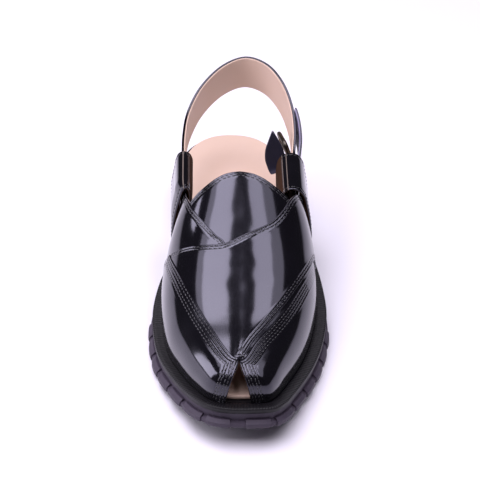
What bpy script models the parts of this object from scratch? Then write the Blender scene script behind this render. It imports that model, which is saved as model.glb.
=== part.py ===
"""Peshawari chappal, the left foot's shoe, as faceted solids.

Metres. Z is up, the toe points along -Y and the lateral side, with the buckle, is +X.
The shoe is modelled from the toe tip at y = 0; at the end everything is moved so that
the shoe stands on z = 0 with the middle of its bounding box over the origin.
"""
import bpy
import numpy as np
from mathutils import Matrix, Vector

MM = 0.001
SOLE_LENGTH = 298 * MM
BALL_WIDTH = 117 * MM
HEEL_WIDTH = 78 * MM
GAP = 0.3 * MM

MIDSOLE_THICK = 4.8 * MM
INSOLE_THICK = 3.2 * MM
TREAD_DEPTH = 4.2 * MM
TREAD_SLOT = 2.6 * MM
TOE_SLOT = 5.0 * MM
ARCH_START = 126 * MM
HEEL_BREAST = 205 * MM
ARCH_RISE = 10.6 * MM

BASE_WALL = 1.4 * MM
WING_OUTER = 2.1 * MM
VAMP_OUTER = 2.5 * MM
TOE_PANEL_OUTER = 3.1 * MM

TOE_SPRING = 16.5 * MM
HEEL_HEIGHT = 32.2 * MM
INSTEP_HEIGHT = 102.5 * MM
WELT_WIDTH = 9.5 * MM
INSOLE_INSET = 12.5 * MM
SECTION_BULGE = 2.2 * MM
CHANNEL_DEPTH = 3.4 * MM
TOE_CHANNEL = 12 * MM
TREAD_CHANNEL = 7 * MM

STRAP_THICK = 2.6 * MM
STRAP_BAND = 25.5 * MM
STRAP_TOP = 109.5 * MM
STRAP_MIDDLE = 2 * MM
STRAP_HALF = 39 * MM
STRAP_REACH = 79 * MM
LEAF_THICK = 2.0 * MM
LEAF_BAND = 22 * MM
LEAF_BULGE = 3.2 * MM
BILLET_THICK = 1.9 * MM
BILLET_HALF = 7.0 * MM
BUCKLE_WIRE = 1.6 * MM
BUCKLE_WIDE = 8.6 * MM
BUCKLE_TALL = 5.2 * MM
BUCKLE_CORNER = 3.2 * MM
PRONG_RADIUS = 0.8 * MM

LOOP_WALL = 1.8 * MM
LOOP_LENGTH = 41.5 * MM
LOOP_TOP = 84 * MM
LOOP_OUT_MEDIAL = 43.4 * MM
LOOP_OUT_LATERAL = 49.4 * MM
LOOP_SWAY_MOST = 2.6 * MM
LOOP_FRONT = 0.552 * SOLE_LENGTH
LOOP_BACK = LOOP_FRONT + LOOP_LENGTH
STRAP_START = LOOP_BACK - 1 * MM

# outline of the sole: station as a share of the sole's length, reach as a share of the width
OUTLINE_LATERAL = [  # station, reach of the ball's width
    (0.003, 0.100), (0.012, 0.205), (0.042, 0.268), (0.090, 0.325), (0.190, 0.430),
    (0.275, 0.490), (0.375, 0.524), (0.465, 0.510), (0.600, 0.443),
]
OUTLINE_MEDIAL = [  # station, reach of the ball's width
    (0.004, 0.085), (0.028, 0.192), (0.080, 0.284), (0.153, 0.375), (0.235, 0.446),
    (0.370, 0.477), (0.475, 0.440), (0.560, 0.372),
]
HEEL_LATERAL = [  # station, reach of the heel's width
    (0.735, 0.505), (0.830, 0.492), (0.905, 0.452), (0.962, 0.325), (0.992, 0.135),
]
HEEL_MEDIAL = [  # station, reach of the heel's width
    (0.700, 0.480), (0.830, 0.508), (0.905, 0.475), (0.962, 0.350), (0.992, 0.160),
]
# heights along the shoe: station as a share of the sole's length, then a share of the toe spring
BOTTOM_LINE = [
    (-0.05, 1.2424), (0, 1), (0.07, 0.6545), (0.14, 0.3818), (0.21, 0.1697), (0.275, 0.0424),
    (0.33, 0), (1.1, 0),
]
# the welt's top, as a share of its height at the heel
TOP_LINE = [
    (-0.05, 1.118), (0, 1.0031), (0.07, 0.8261), (0.14, 0.7019), (0.21, 0.6211), (0.3, 0.5776),
    (0.4, 0.587), (0.5, 0.6584), (0.6, 0.7764), (0.72, 0.8882), (0.86, 0.9565), (1.02, 1),
]
# the upper's ridge, as a share of the instep's height
RIDGE_LINE = [
    (0.05, 0.4683), (0.08, 0.4976), (0.13, 0.5268), (0.2, 0.561), (0.28, 0.6195), (0.36, 0.7073),
    (0.42, 0.7902), (0.52, 1), (0.62, 1.1024), (0.75, 1.1902),
]
# welt outside the upper: station, share of the welt's width on the medial and the lateral side
RIM_LINE = [
    (0, 1, 1), (0.35, 0.9474, 0.9474), (0.5, 0.6316, 0.8), (0.58, 0.4421, 0.7579),
    (1, 0.3158, 0.4211),
]
# insole's edge inside the outline: station, share of its inset at the toe
INSOLE_LINE = [
    (0, 1), (0.35, 0.96), (0.5, 0.76), (0.56, 0.64), (0.69, 0.608), (0.76, 0.288), (1, 0.256),
]
# section of the upper: station, roundness in plan, roundness in height
SECTION_POWER = [(0.0, 2.7, 2.5), (0.3, 2.6, 2.3), (0.5, 2.4, 2.0), (0.8, 2.3, 2.0)]
TOE_CENTRE = 0.081
UPPER_BACK = 0.70

# edges of the panels on the upper's surface: along is the share of the walk from the toe to the
# back of the upper, girth runs from the medial sole line at -1 over the ridge at 0 to the lateral at 1
OPENING_EDGE = [(0.0, 0.0), (0.012, 0.25), (0.022, 0.50), (0.030, 0.80), (0.036, 1.0)]  # along, girth
MEDIAL_ARM = [(0.0, 0.0), (0.10, -0.13), (0.19, -0.23), (0.305, -0.33), (0.425, -0.42), (0.52, -0.50), (0.62, -0.61)]
LATERAL_ARM = [
    (0.0, 0.0), (0.09, 0.08), (0.18, 0.17), (0.27, 0.29), (0.365, 0.40), (0.485, 0.51), (0.58, 0.61),
    (0.645, 0.70), (0.668, 0.83),
]
VAMP_BACK = [
    (0.618, -0.59), (0.585, -0.43), (0.56, -0.25), (0.555, -0.11), (0.585, 0.05), (0.63, 0.22),
    (0.67, 0.29), (0.73, 0.365), (0.78, 0.455), (0.812, 0.535), (0.812, 0.68), (0.812, 0.83),
]
TOE_PANEL_BACK = [(0.738, -0.995), (0.70, -0.91), (0.665, -0.81), (0.64, -0.70), (0.62, -0.61)]
WING_TOP = [
    (0.535, -0.09), (0.56, -0.11), (0.585, -0.17), (0.625, -0.24), (0.675, -0.32), (0.73, -0.39),
    (0.785, -0.47), (0.812, -0.50),
]
BODY_BACK = [  # girth, along
    (0.0, 0.750), (0.15, 0.746), (0.32, 0.738), (0.42, 0.720), (0.55, 0.70), (0.62, 0.672),
    (0.80, 0.668), (0.90, 0.70), (1.0, 0.738),
]
# plan and top edge of the heel strap: shares of its half width, its reach and its top height
STRAP_LINE = [
    (-0.987, -0.4, 0.7352), (-0.987, 0, 0.7379), (-0.975, 0.3, 0.7534), (-0.9, 0.56, 0.79),
    (-0.66, 0.81, 0.8676), (-0.27, 0.965, 0.9543), (0.12, 1, 1), (0.48, 0.92, 0.9909),
    (0.76, 0.73, 0.9498), (0.93, 0.5, 0.8767), (0.98, 0.28, 0.8037), (0.95, 0.02, 0.7416),
    (0.935, -0.4, 0.7352),
]
# sections of the two strap loops: shares of the outward reach and of the height over the welt
LOOP_MEDIAL = [
    (0.8664, 0), (0.9631, 0.1505), (1, 0.3344), (1, 0.5686), (0.9585, 0.786), (0.9401, 0.8863),
    (0.9032, 0.9565), (0.8341, 0.9849), (0.7558, 0.9565), (0.7143, 0.8829), (0.7143, 0.7358),
    (0.7281, 0.5518), (0.7465, 0.3679),
]
LOOP_MEDIAL_FRONT = [
    (0.8664, 0), (0.9631, 0.1505), (0.9954, 0.2843), (0.9862, 0.4013), (0.9677, 0.5351), (0.9378, 0.6689), (0.9055, 0.7776),
    (0.8779, 0.8696), (0.8456, 0.9465), (0.8018, 0.9849), (0.7604, 0.9599), (0.7419, 0.8863), (0.7373, 0.7358), (0.7419, 0.5518), (0.7512, 0.3679),
]
LOOP_LATERAL = [
    (0.9474, 0), (0.9919, 0.1505), (1, 0.3344), (0.9798, 0.5686), (0.9393, 0.7692), (0.915, 0.8696),
    (0.8543, 0.9532), (0.7571, 0.9866), (0.6559, 0.9565), (0.5951, 0.8696), (0.5789, 0.7358),
    (0.587, 0.5518), (0.6073, 0.3679),
]
# shift of a loop outward: share of its length, shares of the most sway, medial and lateral
LOOP_SWAY = [(0.0, 0.0, 1.0), (0.52, 0.0, 0.23), (1.0, -0.08, -0.22)]
LOOP_PINCH = 9 * MM

for item in list(bpy.data.objects):
    bpy.data.objects.remove(item, do_unlink=True)
for group in list(bpy.data.collections):
    bpy.data.collections.remove(group)
SHOE = bpy.data.collections.new("peshawari_chappal")
HELPERS = bpy.data.collections.new("cutters")
bpy.context.scene.collection.children.link(SHOE)
bpy.context.scene.collection.children.link(HELPERS)


def smooth(table, x, column=1):
    """Monotone cubic through a table's columns."""
    a = np.array([r[0] for r in table], float)
    b = np.array([r[column] for r in table], float)
    h = np.diff(a)
    s = np.diff(b) / h
    m = np.zeros_like(b)
    m[0] = s[0]
    m[-1] = s[-1]
    for i in range(1, len(b) - 1):
        if s[i - 1] * s[i] > 0:
            w1 = 2 * h[i] + h[i - 1]
            w2 = h[i] + 2 * h[i - 1]
            m[i] = (w1 + w2) / (w1 / s[i - 1] + w2 / s[i])
    x = np.clip(np.asarray(x, float), a[0], a[-1])
    i = np.clip(np.searchsorted(a, x, side="right") - 1, 0, len(h) - 1)
    t = (x - a[i]) / h[i]
    return ((2 * t**3 - 3 * t**2 + 1) * b[i] + (t**3 - 2 * t**2 + t) * h[i] * m[i]
            + (-2 * t**3 + 3 * t**2) * b[i + 1] + (t**3 - t**2) * h[i] * m[i + 1])


def catmull(points, closed, per=12):
    """Centripetal curve through the points."""
    p = np.asarray(points, float)
    n = len(p)
    out = []
    for i in range(n if closed else n - 1):
        if closed:
            q = [p[(i + j) % n] for j in (-1, 0, 1, 2)]
        else:
            q = [p[max(i - 1, 0)], p[i], p[i + 1], p[min(i + 2, n - 1)]]
        d = [np.linalg.norm(q[j + 1] - q[j]) ** 0.5 for j in range(3)]
        m1 = q[2] - q[1]
        m2 = q[2] - q[1]
        if d[0] > 1e-6:
            m1 = m1 + d[1] * ((q[1] - q[0]) / d[0] - (q[2] - q[0]) / (d[0] + d[1]))
        if d[2] > 1e-6:
            m2 = m2 + d[1] * ((q[3] - q[2]) / d[2] - (q[3] - q[1]) / (d[1] + d[2]))
        t = np.linspace(0, 1, per, endpoint=False)[:, None]
        out.append((2 * t**3 - 3 * t**2 + 1) * q[1] + (t**3 - 2 * t**2 + t) * m1
                   + (-2 * t**3 + 3 * t**2) * q[2] + (t**3 - t**2) * m2)
    out = np.concatenate(out)
    return out if closed else np.vstack([out, p[-1]])


def resample(path, n):
    """Evenly spaced points along a path."""
    step = np.linalg.norm(np.diff(path, axis=0), axis=1)
    s = np.concatenate([[0], np.cumsum(step)])
    t = np.linspace(0, s[-1], n)
    return np.stack([np.interp(t, s, path[:, i]) for i in range(path.shape[1])], 1)


def half_outlines(n):
    """Lateral and medial halves of the sole's outline, from the toe to the heel."""
    lateral = [(r * BALL_WIDTH, s * SOLE_LENGTH) for s, r in OUTLINE_LATERAL]
    lateral += [(r * HEEL_WIDTH, s * SOLE_LENGTH) for s, r in HEEL_LATERAL]
    medial = [(-r * BALL_WIDTH, s * SOLE_LENGTH) for s, r in OUTLINE_MEDIAL]
    medial += [(-r * HEEL_WIDTH, s * SOLE_LENGTH) for s, r in HEEL_MEDIAL]
    ring = catmull(lateral + medial[::-1], True, 24)
    x = ring[:, 0]
    count = len(ring)
    toe = [i for i in range(count) if x[i] <= 0 < x[(i + 1) % count] and ring[i, 1] < SOLE_LENGTH / 2][0]
    ring = np.roll(ring, -(toe + 1), 0)
    x = ring[:, 0]
    heel = [i for i in range(count - 1) if x[i] >= 0 > x[i + 1]][0]
    tip = np.array([0, ring[0, 1]])
    end = np.array([0, ring[heel, 1]])
    lateral = np.vstack([tip, ring[1:heel + 1], end])
    medial = np.vstack([tip, ring[heel + 1:][::-1], end])
    return resample(lateral, n), resample(medial, n)


def moved(half, side, distance):
    """A half outline moved outward by a distance, which may vary along it."""
    t = np.gradient(half, axis=0)
    t /= np.linalg.norm(t, axis=1)[:, None]
    normal = np.stack([t[:, 1], -t[:, 0]], 1) * side
    normal[0] = (0, -1)
    normal[-1] = (0, 1)
    return half + normal * np.reshape(distance, (-1, 1))


def top_line(y):
    return smooth(TOP_LINE, y / SOLE_LENGTH) * HEEL_HEIGHT


def bottom_line(y):
    return smooth(BOTTOM_LINE, y / SOLE_LENGTH) * TOE_SPRING


def ridge_height(y):
    return smooth(RIDGE_LINE, y / SOLE_LENGTH) * INSTEP_HEIGHT


def last_grid(rows=81, half=41):
    """The upper's inner surface: rows from the toe back, columns from medial to lateral."""
    edges = {}
    for side, outline in zip((1, -1), half_outlines(241)):
        rim = smooth(RIM_LINE, outline[:, 1] / SOLE_LENGTH, 1 if side < 0 else 2) * WELT_WIDTH
        feather = moved(outline, side, -rim)
        stop = int(np.argmax(feather[:, 1] > UPPER_BACK * SOLE_LENGTH))
        edges[side] = resample(feather[:stop + 1], rows)
    middle = (edges[1][:, 1] + edges[-1][:, 1]) / 2
    ridge_y = np.sqrt(middle**2 + (TOE_CENTRE * SOLE_LENGTH) ** 2)
    share = ridge_y / SOLE_LENGTH
    ridge = np.stack([np.interp(share, [0, 0.35, 0.6], [0, 0.5 * MM, MM]), ridge_y, ridge_height(ridge_y)], 1)
    grid = np.zeros((rows, 2 * half - 1, 3))
    phi = np.linspace(0, np.pi / 2, 201)
    for side in (1, -1):
        for i in range(rows):
            foot = edges[side][i]
            plan = 1 - np.abs(np.cos(phi)) ** (2 / smooth(SECTION_POWER, share[i], 1))
            rise = np.sin(phi) ** (2 / smooth(SECTION_POWER, share[i], 2))
            xy = foot + (ridge[i, :2] - foot) * plan[:, None]
            away = foot - ridge[i, :2]
            away /= np.linalg.norm(away)
            xy = xy + away * (SECTION_BULGE * np.sin(2 * phi))[:, None]
            base = top_line(foot[1]) + GAP
            line = resample(np.column_stack([xy, base + (ridge[i, 2] - base) * rise]), half)
            if side < 0:
                grid[i, :half] = line
            else:
                grid[i, half - 1:] = line[::-1]
    return grid


GRID = last_grid()


def grid_normals(grid):
    """Outward directions; the first row is a fold, where left and right columns meet."""
    along = np.gradient(grid, axis=0)
    around = np.gradient(grid, axis=1)
    centre = grid.shape[1] // 2
    along[0] = grid[1, ::-1] - grid[1]
    around[0, centre] = around[0, centre - 1]
    along[0, centre] = along[0, centre - 1]
    normal = np.cross(around, along)
    normal /= np.linalg.norm(normal, axis=2)[..., None]
    heart = np.stack([0 * grid[..., 0], np.maximum(grid[..., 1], 45 * MM), 0 * grid[..., 0] + 20 * MM], -1)
    normal *= np.sign(np.sum(normal * (grid - heart), axis=2))[..., None]
    normal[0] += normal[0, ::-1]
    normal[0] /= np.linalg.norm(normal[0], axis=1)[:, None]
    return normal


NORMALS = grid_normals(GRID)


def bilinear(grid, along, girth):
    rows, columns = grid.shape[:2]
    a = np.clip(np.asarray(along, float) * (rows - 1), 0, rows - 1 - 1e-9)
    b = np.clip((np.asarray(girth, float) + 1) / 2 * (columns - 1), 0, columns - 1 - 1e-9)
    i, j = a.astype(int), b.astype(int)
    s, t = (a - i)[..., None], (b - j)[..., None]
    return (grid[i, j] * (1 - s) * (1 - t) + grid[i + 1, j] * s * (1 - t)
            + grid[i, j + 1] * (1 - s) * t + grid[i + 1, j + 1] * s * t)


def on_last(along, girth, offset):
    """Points at an offset outside the upper's inner surface, never under the welt's top."""
    normal = bilinear(NORMALS, along, girth)
    normal /= np.linalg.norm(normal, axis=-1)[..., None]
    point = bilinear(GRID, along, girth) + normal * offset
    point[..., 2] = np.maximum(point[..., 2], top_line(point[..., 1]) + GAP)
    return point


def line_through(table, n):
    """n points of a curve on the upper's surface, spaced evenly in its own measures."""
    return resample(catmull(table, False, 8), n)


def coons(front, back, left, right):
    """A patch of surface places between four edges; front and back run from left to right."""
    s = np.linspace(0, 1, len(front))[None, :, None]
    t = np.linspace(0, 1, len(left))[:, None, None]
    across = (1 - t) * front[None] + t * back[None]
    up = (1 - s) * left[:, None] + s * right[:, None]
    corners = ((1 - s) * (1 - t) * front[0] + s * (1 - t) * front[-1]
               + (1 - s) * t * back[0] + s * t * back[-1])
    return across + up - corners


def add_mesh(name, points, faces, group=None, weld=True):
    mesh = bpy.data.meshes.new(name)
    mesh.from_pydata([tuple(map(float, p)) for p in points], [], faces)
    mesh.update()
    item = bpy.data.objects.new(name, mesh)
    (group or SHOE).objects.link(item)
    import bmesh
    work = bmesh.new()
    work.from_mesh(mesh)
    if weld:
        bmesh.ops.remove_doubles(work, verts=work.verts, dist=1e-6)
    bmesh.ops.recalc_face_normals(work, faces=work.faces)
    work.to_mesh(mesh)
    work.free()
    if group is HELPERS:
        item.hide_render = True
        item.display_type = "WIRE"
    return item


def shell(name, places, inner, outer, group=None):
    """A closed panel over a patch of places, between two offsets."""
    rows, columns = places.shape[:2]
    low = on_last(places[..., 0], places[..., 1], inner)
    high = on_last(places[..., 0], places[..., 1], outer)
    points = np.concatenate([low.reshape(-1, 3), high.reshape(-1, 3)])
    n = rows * columns
    faces = []
    for i in range(rows - 1):
        for j in range(columns - 1):
            a, b, c, d = i * columns + j, i * columns + j + 1, (i + 1) * columns + j + 1, (i + 1) * columns + j
            faces.append((a, b, c, d))
            faces.append((n + d, n + c, n + b, n + a))
    rim = [(0, j) for j in range(columns)] + [(i, columns - 1) for i in range(1, rows)]
    rim += [(rows - 1, j) for j in range(columns - 2, -1, -1)] + [(i, 0) for i in range(rows - 2, 0, -1)]
    for p, q in zip(rim, rim[1:] + rim[:1]):
        if places[p][0] < 1e-6 and places[q][0] < 1e-6:
            continue
        a, b = p[0] * columns + p[1], q[0] * columns + q[1]
        faces.append((a, b, n + b, n + a))
    return add_mesh(name, points, faces, group)


def combine(item, other, how):
    step = item.modifiers.new(how.lower() + "_" + other.name, "BOOLEAN")
    step.operation = how
    step.solver = "EXACT"
    step.use_self = how == "UNION"
    step.object = other


def box(name, low, high, group=None, turn=0.0):
    low, high = np.array(low, float), np.array(high, float)
    middle = (low + high) / 2
    half = (high - low) / 2
    points = []
    for z in (-1, 1):
        for x, y in ((-1, -1), (1, -1), (1, 1), (-1, 1)):
            p = Matrix.Rotation(turn, 3, "Z") @ Vector((x * half[0], y * half[1], z * half[2]))
            points.append(middle + np.array(p))
    faces = [(3, 2, 1, 0), (4, 5, 6, 7), (0, 1, 5, 4), (1, 2, 6, 5), (2, 3, 7, 6), (3, 0, 4, 7)]
    return add_mesh(name, points, faces, group)


def ladder_solid(name, rings, group=None):
    """A solid from rings given as (lateral half, medial half) point lists, lowest first."""
    n = len(rings[0][0])
    points = []
    for lateral, medial in rings:
        points += list(lateral) + list(medial[1:-1][::-1])
    size = 2 * n - 2
    faces = []
    for r in range(len(rings) - 1):
        for i in range(size):
            j = (i + 1) % size
            faces.append((r * size + i, r * size + j, (r + 1) * size + j, (r + 1) * size + i))
    for r in (0, len(rings) - 1):
        o = r * size

        def med(i):
            return o if i == 0 else (o + n - 1 if i == n - 1 else o + size - i)
        for i in range(n - 1):
            quad = [o + i, o + i + 1, med(i + 1), med(i)]
            quad = [v for k, v in enumerate(quad) if v not in quad[:k]]
            faces.append(tuple(quad))
    return add_mesh(name, points, faces, group)


def ring(outward, height, n=61):
    """Both halves of the outline moved outward, at a height that is a function of y."""
    out = []
    for side, outline in zip((1, -1), half_outlines(n)):
        p = moved(outline, side, outward(outline[:, 1]) if callable(outward) else np.full(n, outward))
        p[0, 0] = p[-1, 0] = 0
        out.append(np.column_stack([p, height(p[:, 1])]))
    out[1][0] = out[0][0]
    out[1][-1] = out[0][-1]
    return out


def wall(share):
    def height(y):
        low = bottom_line(y)
        high = top_line(y) - MIDSOLE_THICK - GAP
        return low + (high - low) * share
    return height


# the rubber outsole, with lugs standing out at its foot
outsole = ladder_solid("outsole", [
    ring(0.4 * MM, wall(0.0)), ring(1.6 * MM, wall(0.10)), ring(1.2 * MM, wall(0.34)),
    ring(-1.6 * MM, wall(0.46)), ring(-1.2 * MM, wall(1.0)),
])
ARCH_LINE = [(0.0, 0.0), (0.089, 0.245), (0.228, 0.585), (0.43, 0.887), (0.684, 1.0), (0.911, 1.0), (0.975, 0.887), (1.0, 0.66)]
arch = [(ARCH_START + a * (HEEL_BREAST - ARCH_START), b * ARCH_RISE) for a, b in ARCH_LINE]
arch = [(ARCH_START, -0.02)] + arch + [(HEEL_BREAST + MM, -0.02)]
points = [(x, y, z) for x in (-0.09, 0.09) for y, z in arch]
n = len(arch)
faces = [tuple(range(n)), tuple(range(2 * n - 1, n - 1, -1))]
faces += [(i, (i + 1) % n, n + (i + 1) % n, n + i) for i in range(n)]
combine(outsole, add_mesh("arch_cut", points, faces, HELPERS), "DIFFERENCE")

SLOTS = [0.0487, 0.1141, 0.1795, 0.245, 0.3104, 0.3758, 0.7517, 0.8154, 0.8792]  # shares of the sole's length
for number, station in enumerate(SLOTS):
    y = station * SOLE_LENGTH
    width = TREAD_SLOT if number else TOE_SLOT
    top = float(bottom_line(y)) + (TREAD_DEPTH if number else TREAD_DEPTH * 1.2)
    cut = box("slot_%d" % number, (-0.09, y - width / 2, -0.02), (0.09, y + width / 2, top), HELPERS)
    combine(outsole, cut, "DIFFERENCE")
CHANNELS = [(TOE_CHANNEL, -0.034, 0.03), (TREAD_CHANNEL, 0.1275, 0.3624), (TREAD_CHANNEL, 0.7651, 0.8658)]
for number, (width, start, stop) in enumerate(CHANNELS):
    start, stop = start * SOLE_LENGTH, stop * SOLE_LENGTH
    top = float(bottom_line(stop if number == 0 else (start + stop) / 2)) + CHANNEL_DEPTH
    cut = box("channel_%d" % number, (-width / 2, start, -0.02), (width / 2, stop, top), HELPERS)
    combine(outsole, cut, "DIFFERENCE")

# the midsole, whose rim is the ribbed welt
midsole = ladder_solid("midsole", [
    ring(-0.9 * MM, lambda y: top_line(y) - MIDSOLE_THICK), ring(-0.1 * MM, lambda y: top_line(y) - MIDSOLE_THICK + 0.7 * MM),
    ring(0.0, lambda y: top_line(y) - 1.2 * MM), ring(-1.1 * MM, top_line),
])

# the padded insole, cupped a little at its edge


def insole_edge(extra):
    return lambda y: -(smooth(INSOLE_LINE, y / SOLE_LENGTH) * INSOLE_INSET + extra)


insole = ladder_solid("insole", [
    ring(insole_edge(0.3 * MM), lambda y: top_line(y) + GAP), ring(insole_edge(0), lambda y: top_line(y) + GAP + 0.8 * MM),
    ring(insole_edge(0.2 * MM), lambda y: top_line(y) + GAP + 2.6 * MM),
    ring(insole_edge(1.6 * MM), lambda y: top_line(y) + GAP + INSOLE_THICK),
])

# the upper: the body that holds tongue and toe panels, with wing, vamp and toe panel laid over it
girths = np.linspace(-1, 1, 27)
front = np.interp(np.abs(girths), [r[1] for r in OPENING_EDGE], [r[0] for r in OPENING_EDGE])
back = np.interp(np.abs(girths), [r[0] for r in BODY_BACK], [r[1] for r in BODY_BACK])
t = np.linspace(0, 1, 21)[:, None]
places = np.stack([front + (back - front) * t, np.broadcast_to(girths, (21, len(girths)))], -1)
upper = shell("upper", places, 0.0, BASE_WALL)

wing_top = line_through(WING_TOP, 9)
wing_low = line_through([(0.66, -0.82), (0.73, -0.825), (0.812, -0.83)], 9)
wing_front = line_through([(0.66, -0.82), (0.605, -0.72), (0.56, -0.50), (0.54, -0.25), (0.535, -0.09)], 9)
wing_back = line_through([(0.812, -0.83), (0.812, -0.66), (0.812, -0.50)], 9)

# the vamp is drawn from its lower edge, which runs down one arm to the toe opening and up the
# other, to its back edge
low_edge = np.vstack([
    line_through([(0.03, 0.0)] + [(a, g - 0.03) for a, g in MEDIAL_ARM[1:-1]] + [(0.590, -0.59)], 13)[::-1],
    line_through([(0.03, 0.0)] + LATERAL_ARM[1:], 15)[1:],
])
full = line_through(VAMP_BACK, 201)
stops = np.interp(np.arange(27), [0, 12, 26], [0, 0.36, 1.0])
back_edge = np.stack([np.interp(stops, np.linspace(0, 1, 201), full[:, c]) for c in (0, 1)], 1)
t = np.linspace(0, 1, 13)[:, None, None]
vamp = (1 - t) * low_edge[None] + t * back_edge[None]
combine(upper, shell("vamp", vamp, 0.5 * MM, VAMP_OUTER, HELPERS), "UNION")

panel_front = line_through([(a, -g) for a, g in OPENING_EDGE][::-1], 8)
panel_front[0, 1] = -0.995
panel = coons(panel_front, line_through(TOE_PANEL_BACK, 8), line_through([(0.036, -0.995), (0.40, -0.995), (0.738, -0.995)], 14),
              line_through([(a, g) for a, g in MEDIAL_ARM], 14))
combine(upper, shell("toe_panel", panel, 0.8 * MM, TOE_PANEL_OUTER, HELPERS), "UNION")
combine(upper, shell("medial_wing", coons(wing_front, wing_back, wing_low, wing_top), 0.3 * MM, WING_OUTER, HELPERS), "UNION")


def loop_skins(section, reach):
    """Outer and inner line of a loop's section: outward distance and share of the height."""
    height = LOOP_TOP - top_line(LOOP_FRONT) - GAP
    middle = resample(catmull(np.array(section) * (reach, height), False, 6), 25)
    t = np.gradient(middle, axis=0)
    t /= np.linalg.norm(t, axis=1)[:, None]
    normal = np.stack([t[:, 1], -t[:, 0]], 1)
    outer = middle + normal * LOOP_WALL / 2
    inner = middle - normal * LOOP_WALL / 2
    return np.vstack([outer, inner[::-1]]) / (1, outer[:, 1].max())


def loop(name, side, reach, section, front):
    """A strip folded over into a tunnel for the strap, standing on the welt."""
    rear, fore = loop_skins(section, reach), loop_skins(front, reach)
    count = len(rear)
    ahead = np.array([0, LOOP_PINCH / 2, LOOP_PINCH])
    stations = LOOP_FRONT + np.concatenate([ahead, LOOP_PINCH + (LOOP_LENGTH - LOOP_PINCH) * np.array([0.25, 0.6, 1.0])])
    points = []
    for y in stations:
        near = np.clip((y - LOOP_FRONT) / LOOP_PINCH, 0, 1)
        closed = fore * (1 - near) + rear * near
        base = float(top_line(y)) + GAP
        share = (y - LOOP_FRONT) / LOOP_LENGTH
        shift = np.interp(share, [r[0] for r in LOOP_SWAY], [r[1 if side < 0 else 2] for r in LOOP_SWAY])
        fade = np.clip(1 - closed[:, 1] * 0.855, 0.1, 1)
        x = closed[:, 0] + shift * LOOP_SWAY_MOST * fade
        z = base + np.maximum(closed[:, 1], 0) * (LOOP_TOP - base)
        points += [(side * a, y, b) for a, b in zip(x, z)]
    faces = []
    half = count // 2
    for r in range(len(stations) - 1):
        for i in range(count):
            j = (i + 1) % count
            faces.append((r * count + i, r * count + j, (r + 1) * count + j, (r + 1) * count + i))
    for r in (0, len(stations) - 1):
        for i in range(half - 1):
            o = r * count
            faces.append((o + i, o + i + 1, o + count - 2 - i, o + count - 1 - i))
    return add_mesh(name, points, faces)


loop_medial = loop("loop_medial", -1, LOOP_OUT_MEDIAL, LOOP_MEDIAL, LOOP_MEDIAL_FRONT)
loop_lateral = loop("loop_lateral", 1, LOOP_OUT_LATERAL, LOOP_LATERAL, LOOP_LATERAL)


def band(name, line, tops, height, thick, group=None):
    """An upright band of leather along a plan line, with its own top height at each point."""
    t = np.gradient(line, axis=0)
    t /= np.linalg.norm(t, axis=1)[:, None]
    normal = np.stack([t[:, 1], -t[:, 0]], 1)
    points = []
    for p, q, top in zip(line, normal, tops):
        edge = 0.5 * MM
        for out, z in ((-0.5, top - edge), (-0.5 + 0.2, top), (0.5 - 0.2, top), (0.5, top - edge),
                       (0.5, top - height + edge), (0.5 - 0.2, top - height), (-0.5 + 0.2, top - height), (-0.5, top - height + edge)):
            points.append((p[0] + q[0] * thick * out, p[1] + q[1] * thick * out, z))
    faces = []
    for i in range(len(line) - 1):
        for j in range(8):
            k = (j + 1) % 8
            faces.append((i * 8 + j, i * 8 + k, (i + 1) * 8 + k, (i + 1) * 8 + j))
    faces.append(tuple(range(8)))
    faces.append(tuple(range((len(line) - 1) * 8, len(line) * 8)))
    return add_mesh(name, points, faces, group)


def strap_line(n, first=0.0, last=1.0):
    path = [(STRAP_MIDDLE + a * STRAP_HALF, STRAP_START + b * STRAP_REACH, c * STRAP_TOP) for a, b, c in STRAP_LINE]
    path = catmull(path, False, 10)
    path = resample(path, 401)
    path = path[int(first * 400):int(last * 400) + 1]
    return resample(path, n)


path = strap_line(45)
heel_strap = band("heel_strap", path[:, :2], path[:, 2], STRAP_BAND, STRAP_THICK)

# the doubled end of the strap, a leaf along its outer side: share of the way from the strap's
# lateral end, share of the bulge away from the strap, drop under its top as a share of the band
LEAF_LINE = [
    (0.0, 0.0, 0.19), (0.30, 0.05, 0.185), (0.46, 0.40, 0.16), (0.64, 0.62, 0.09), (0.82, 0.42, 0.03), (1.0, 0.0, 0.01),
]
LEAF_REACH = 0.272
whole = strap_line(401)[::-1]
leaf = resample(whole[:int(400 * LEAF_REACH) + 1], 14)
share = np.linspace(0, 1, 14)
t = np.gradient(leaf[:, :2], axis=0)
t /= np.linalg.norm(t, axis=1)[:, None]
away = (STRAP_THICK + LEAF_THICK) / 2 + GAP + smooth(LEAF_LINE, share, 1) * LEAF_BULGE
line = leaf[:, :2] + np.stack([t[:, 1], -t[:, 0]], 1) * away[:, None]
band("strap_fold", line, leaf[:, 2] - smooth(LEAF_LINE, share, 2) * STRAP_BAND, LEAF_BAND, LEAF_THICK)

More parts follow.
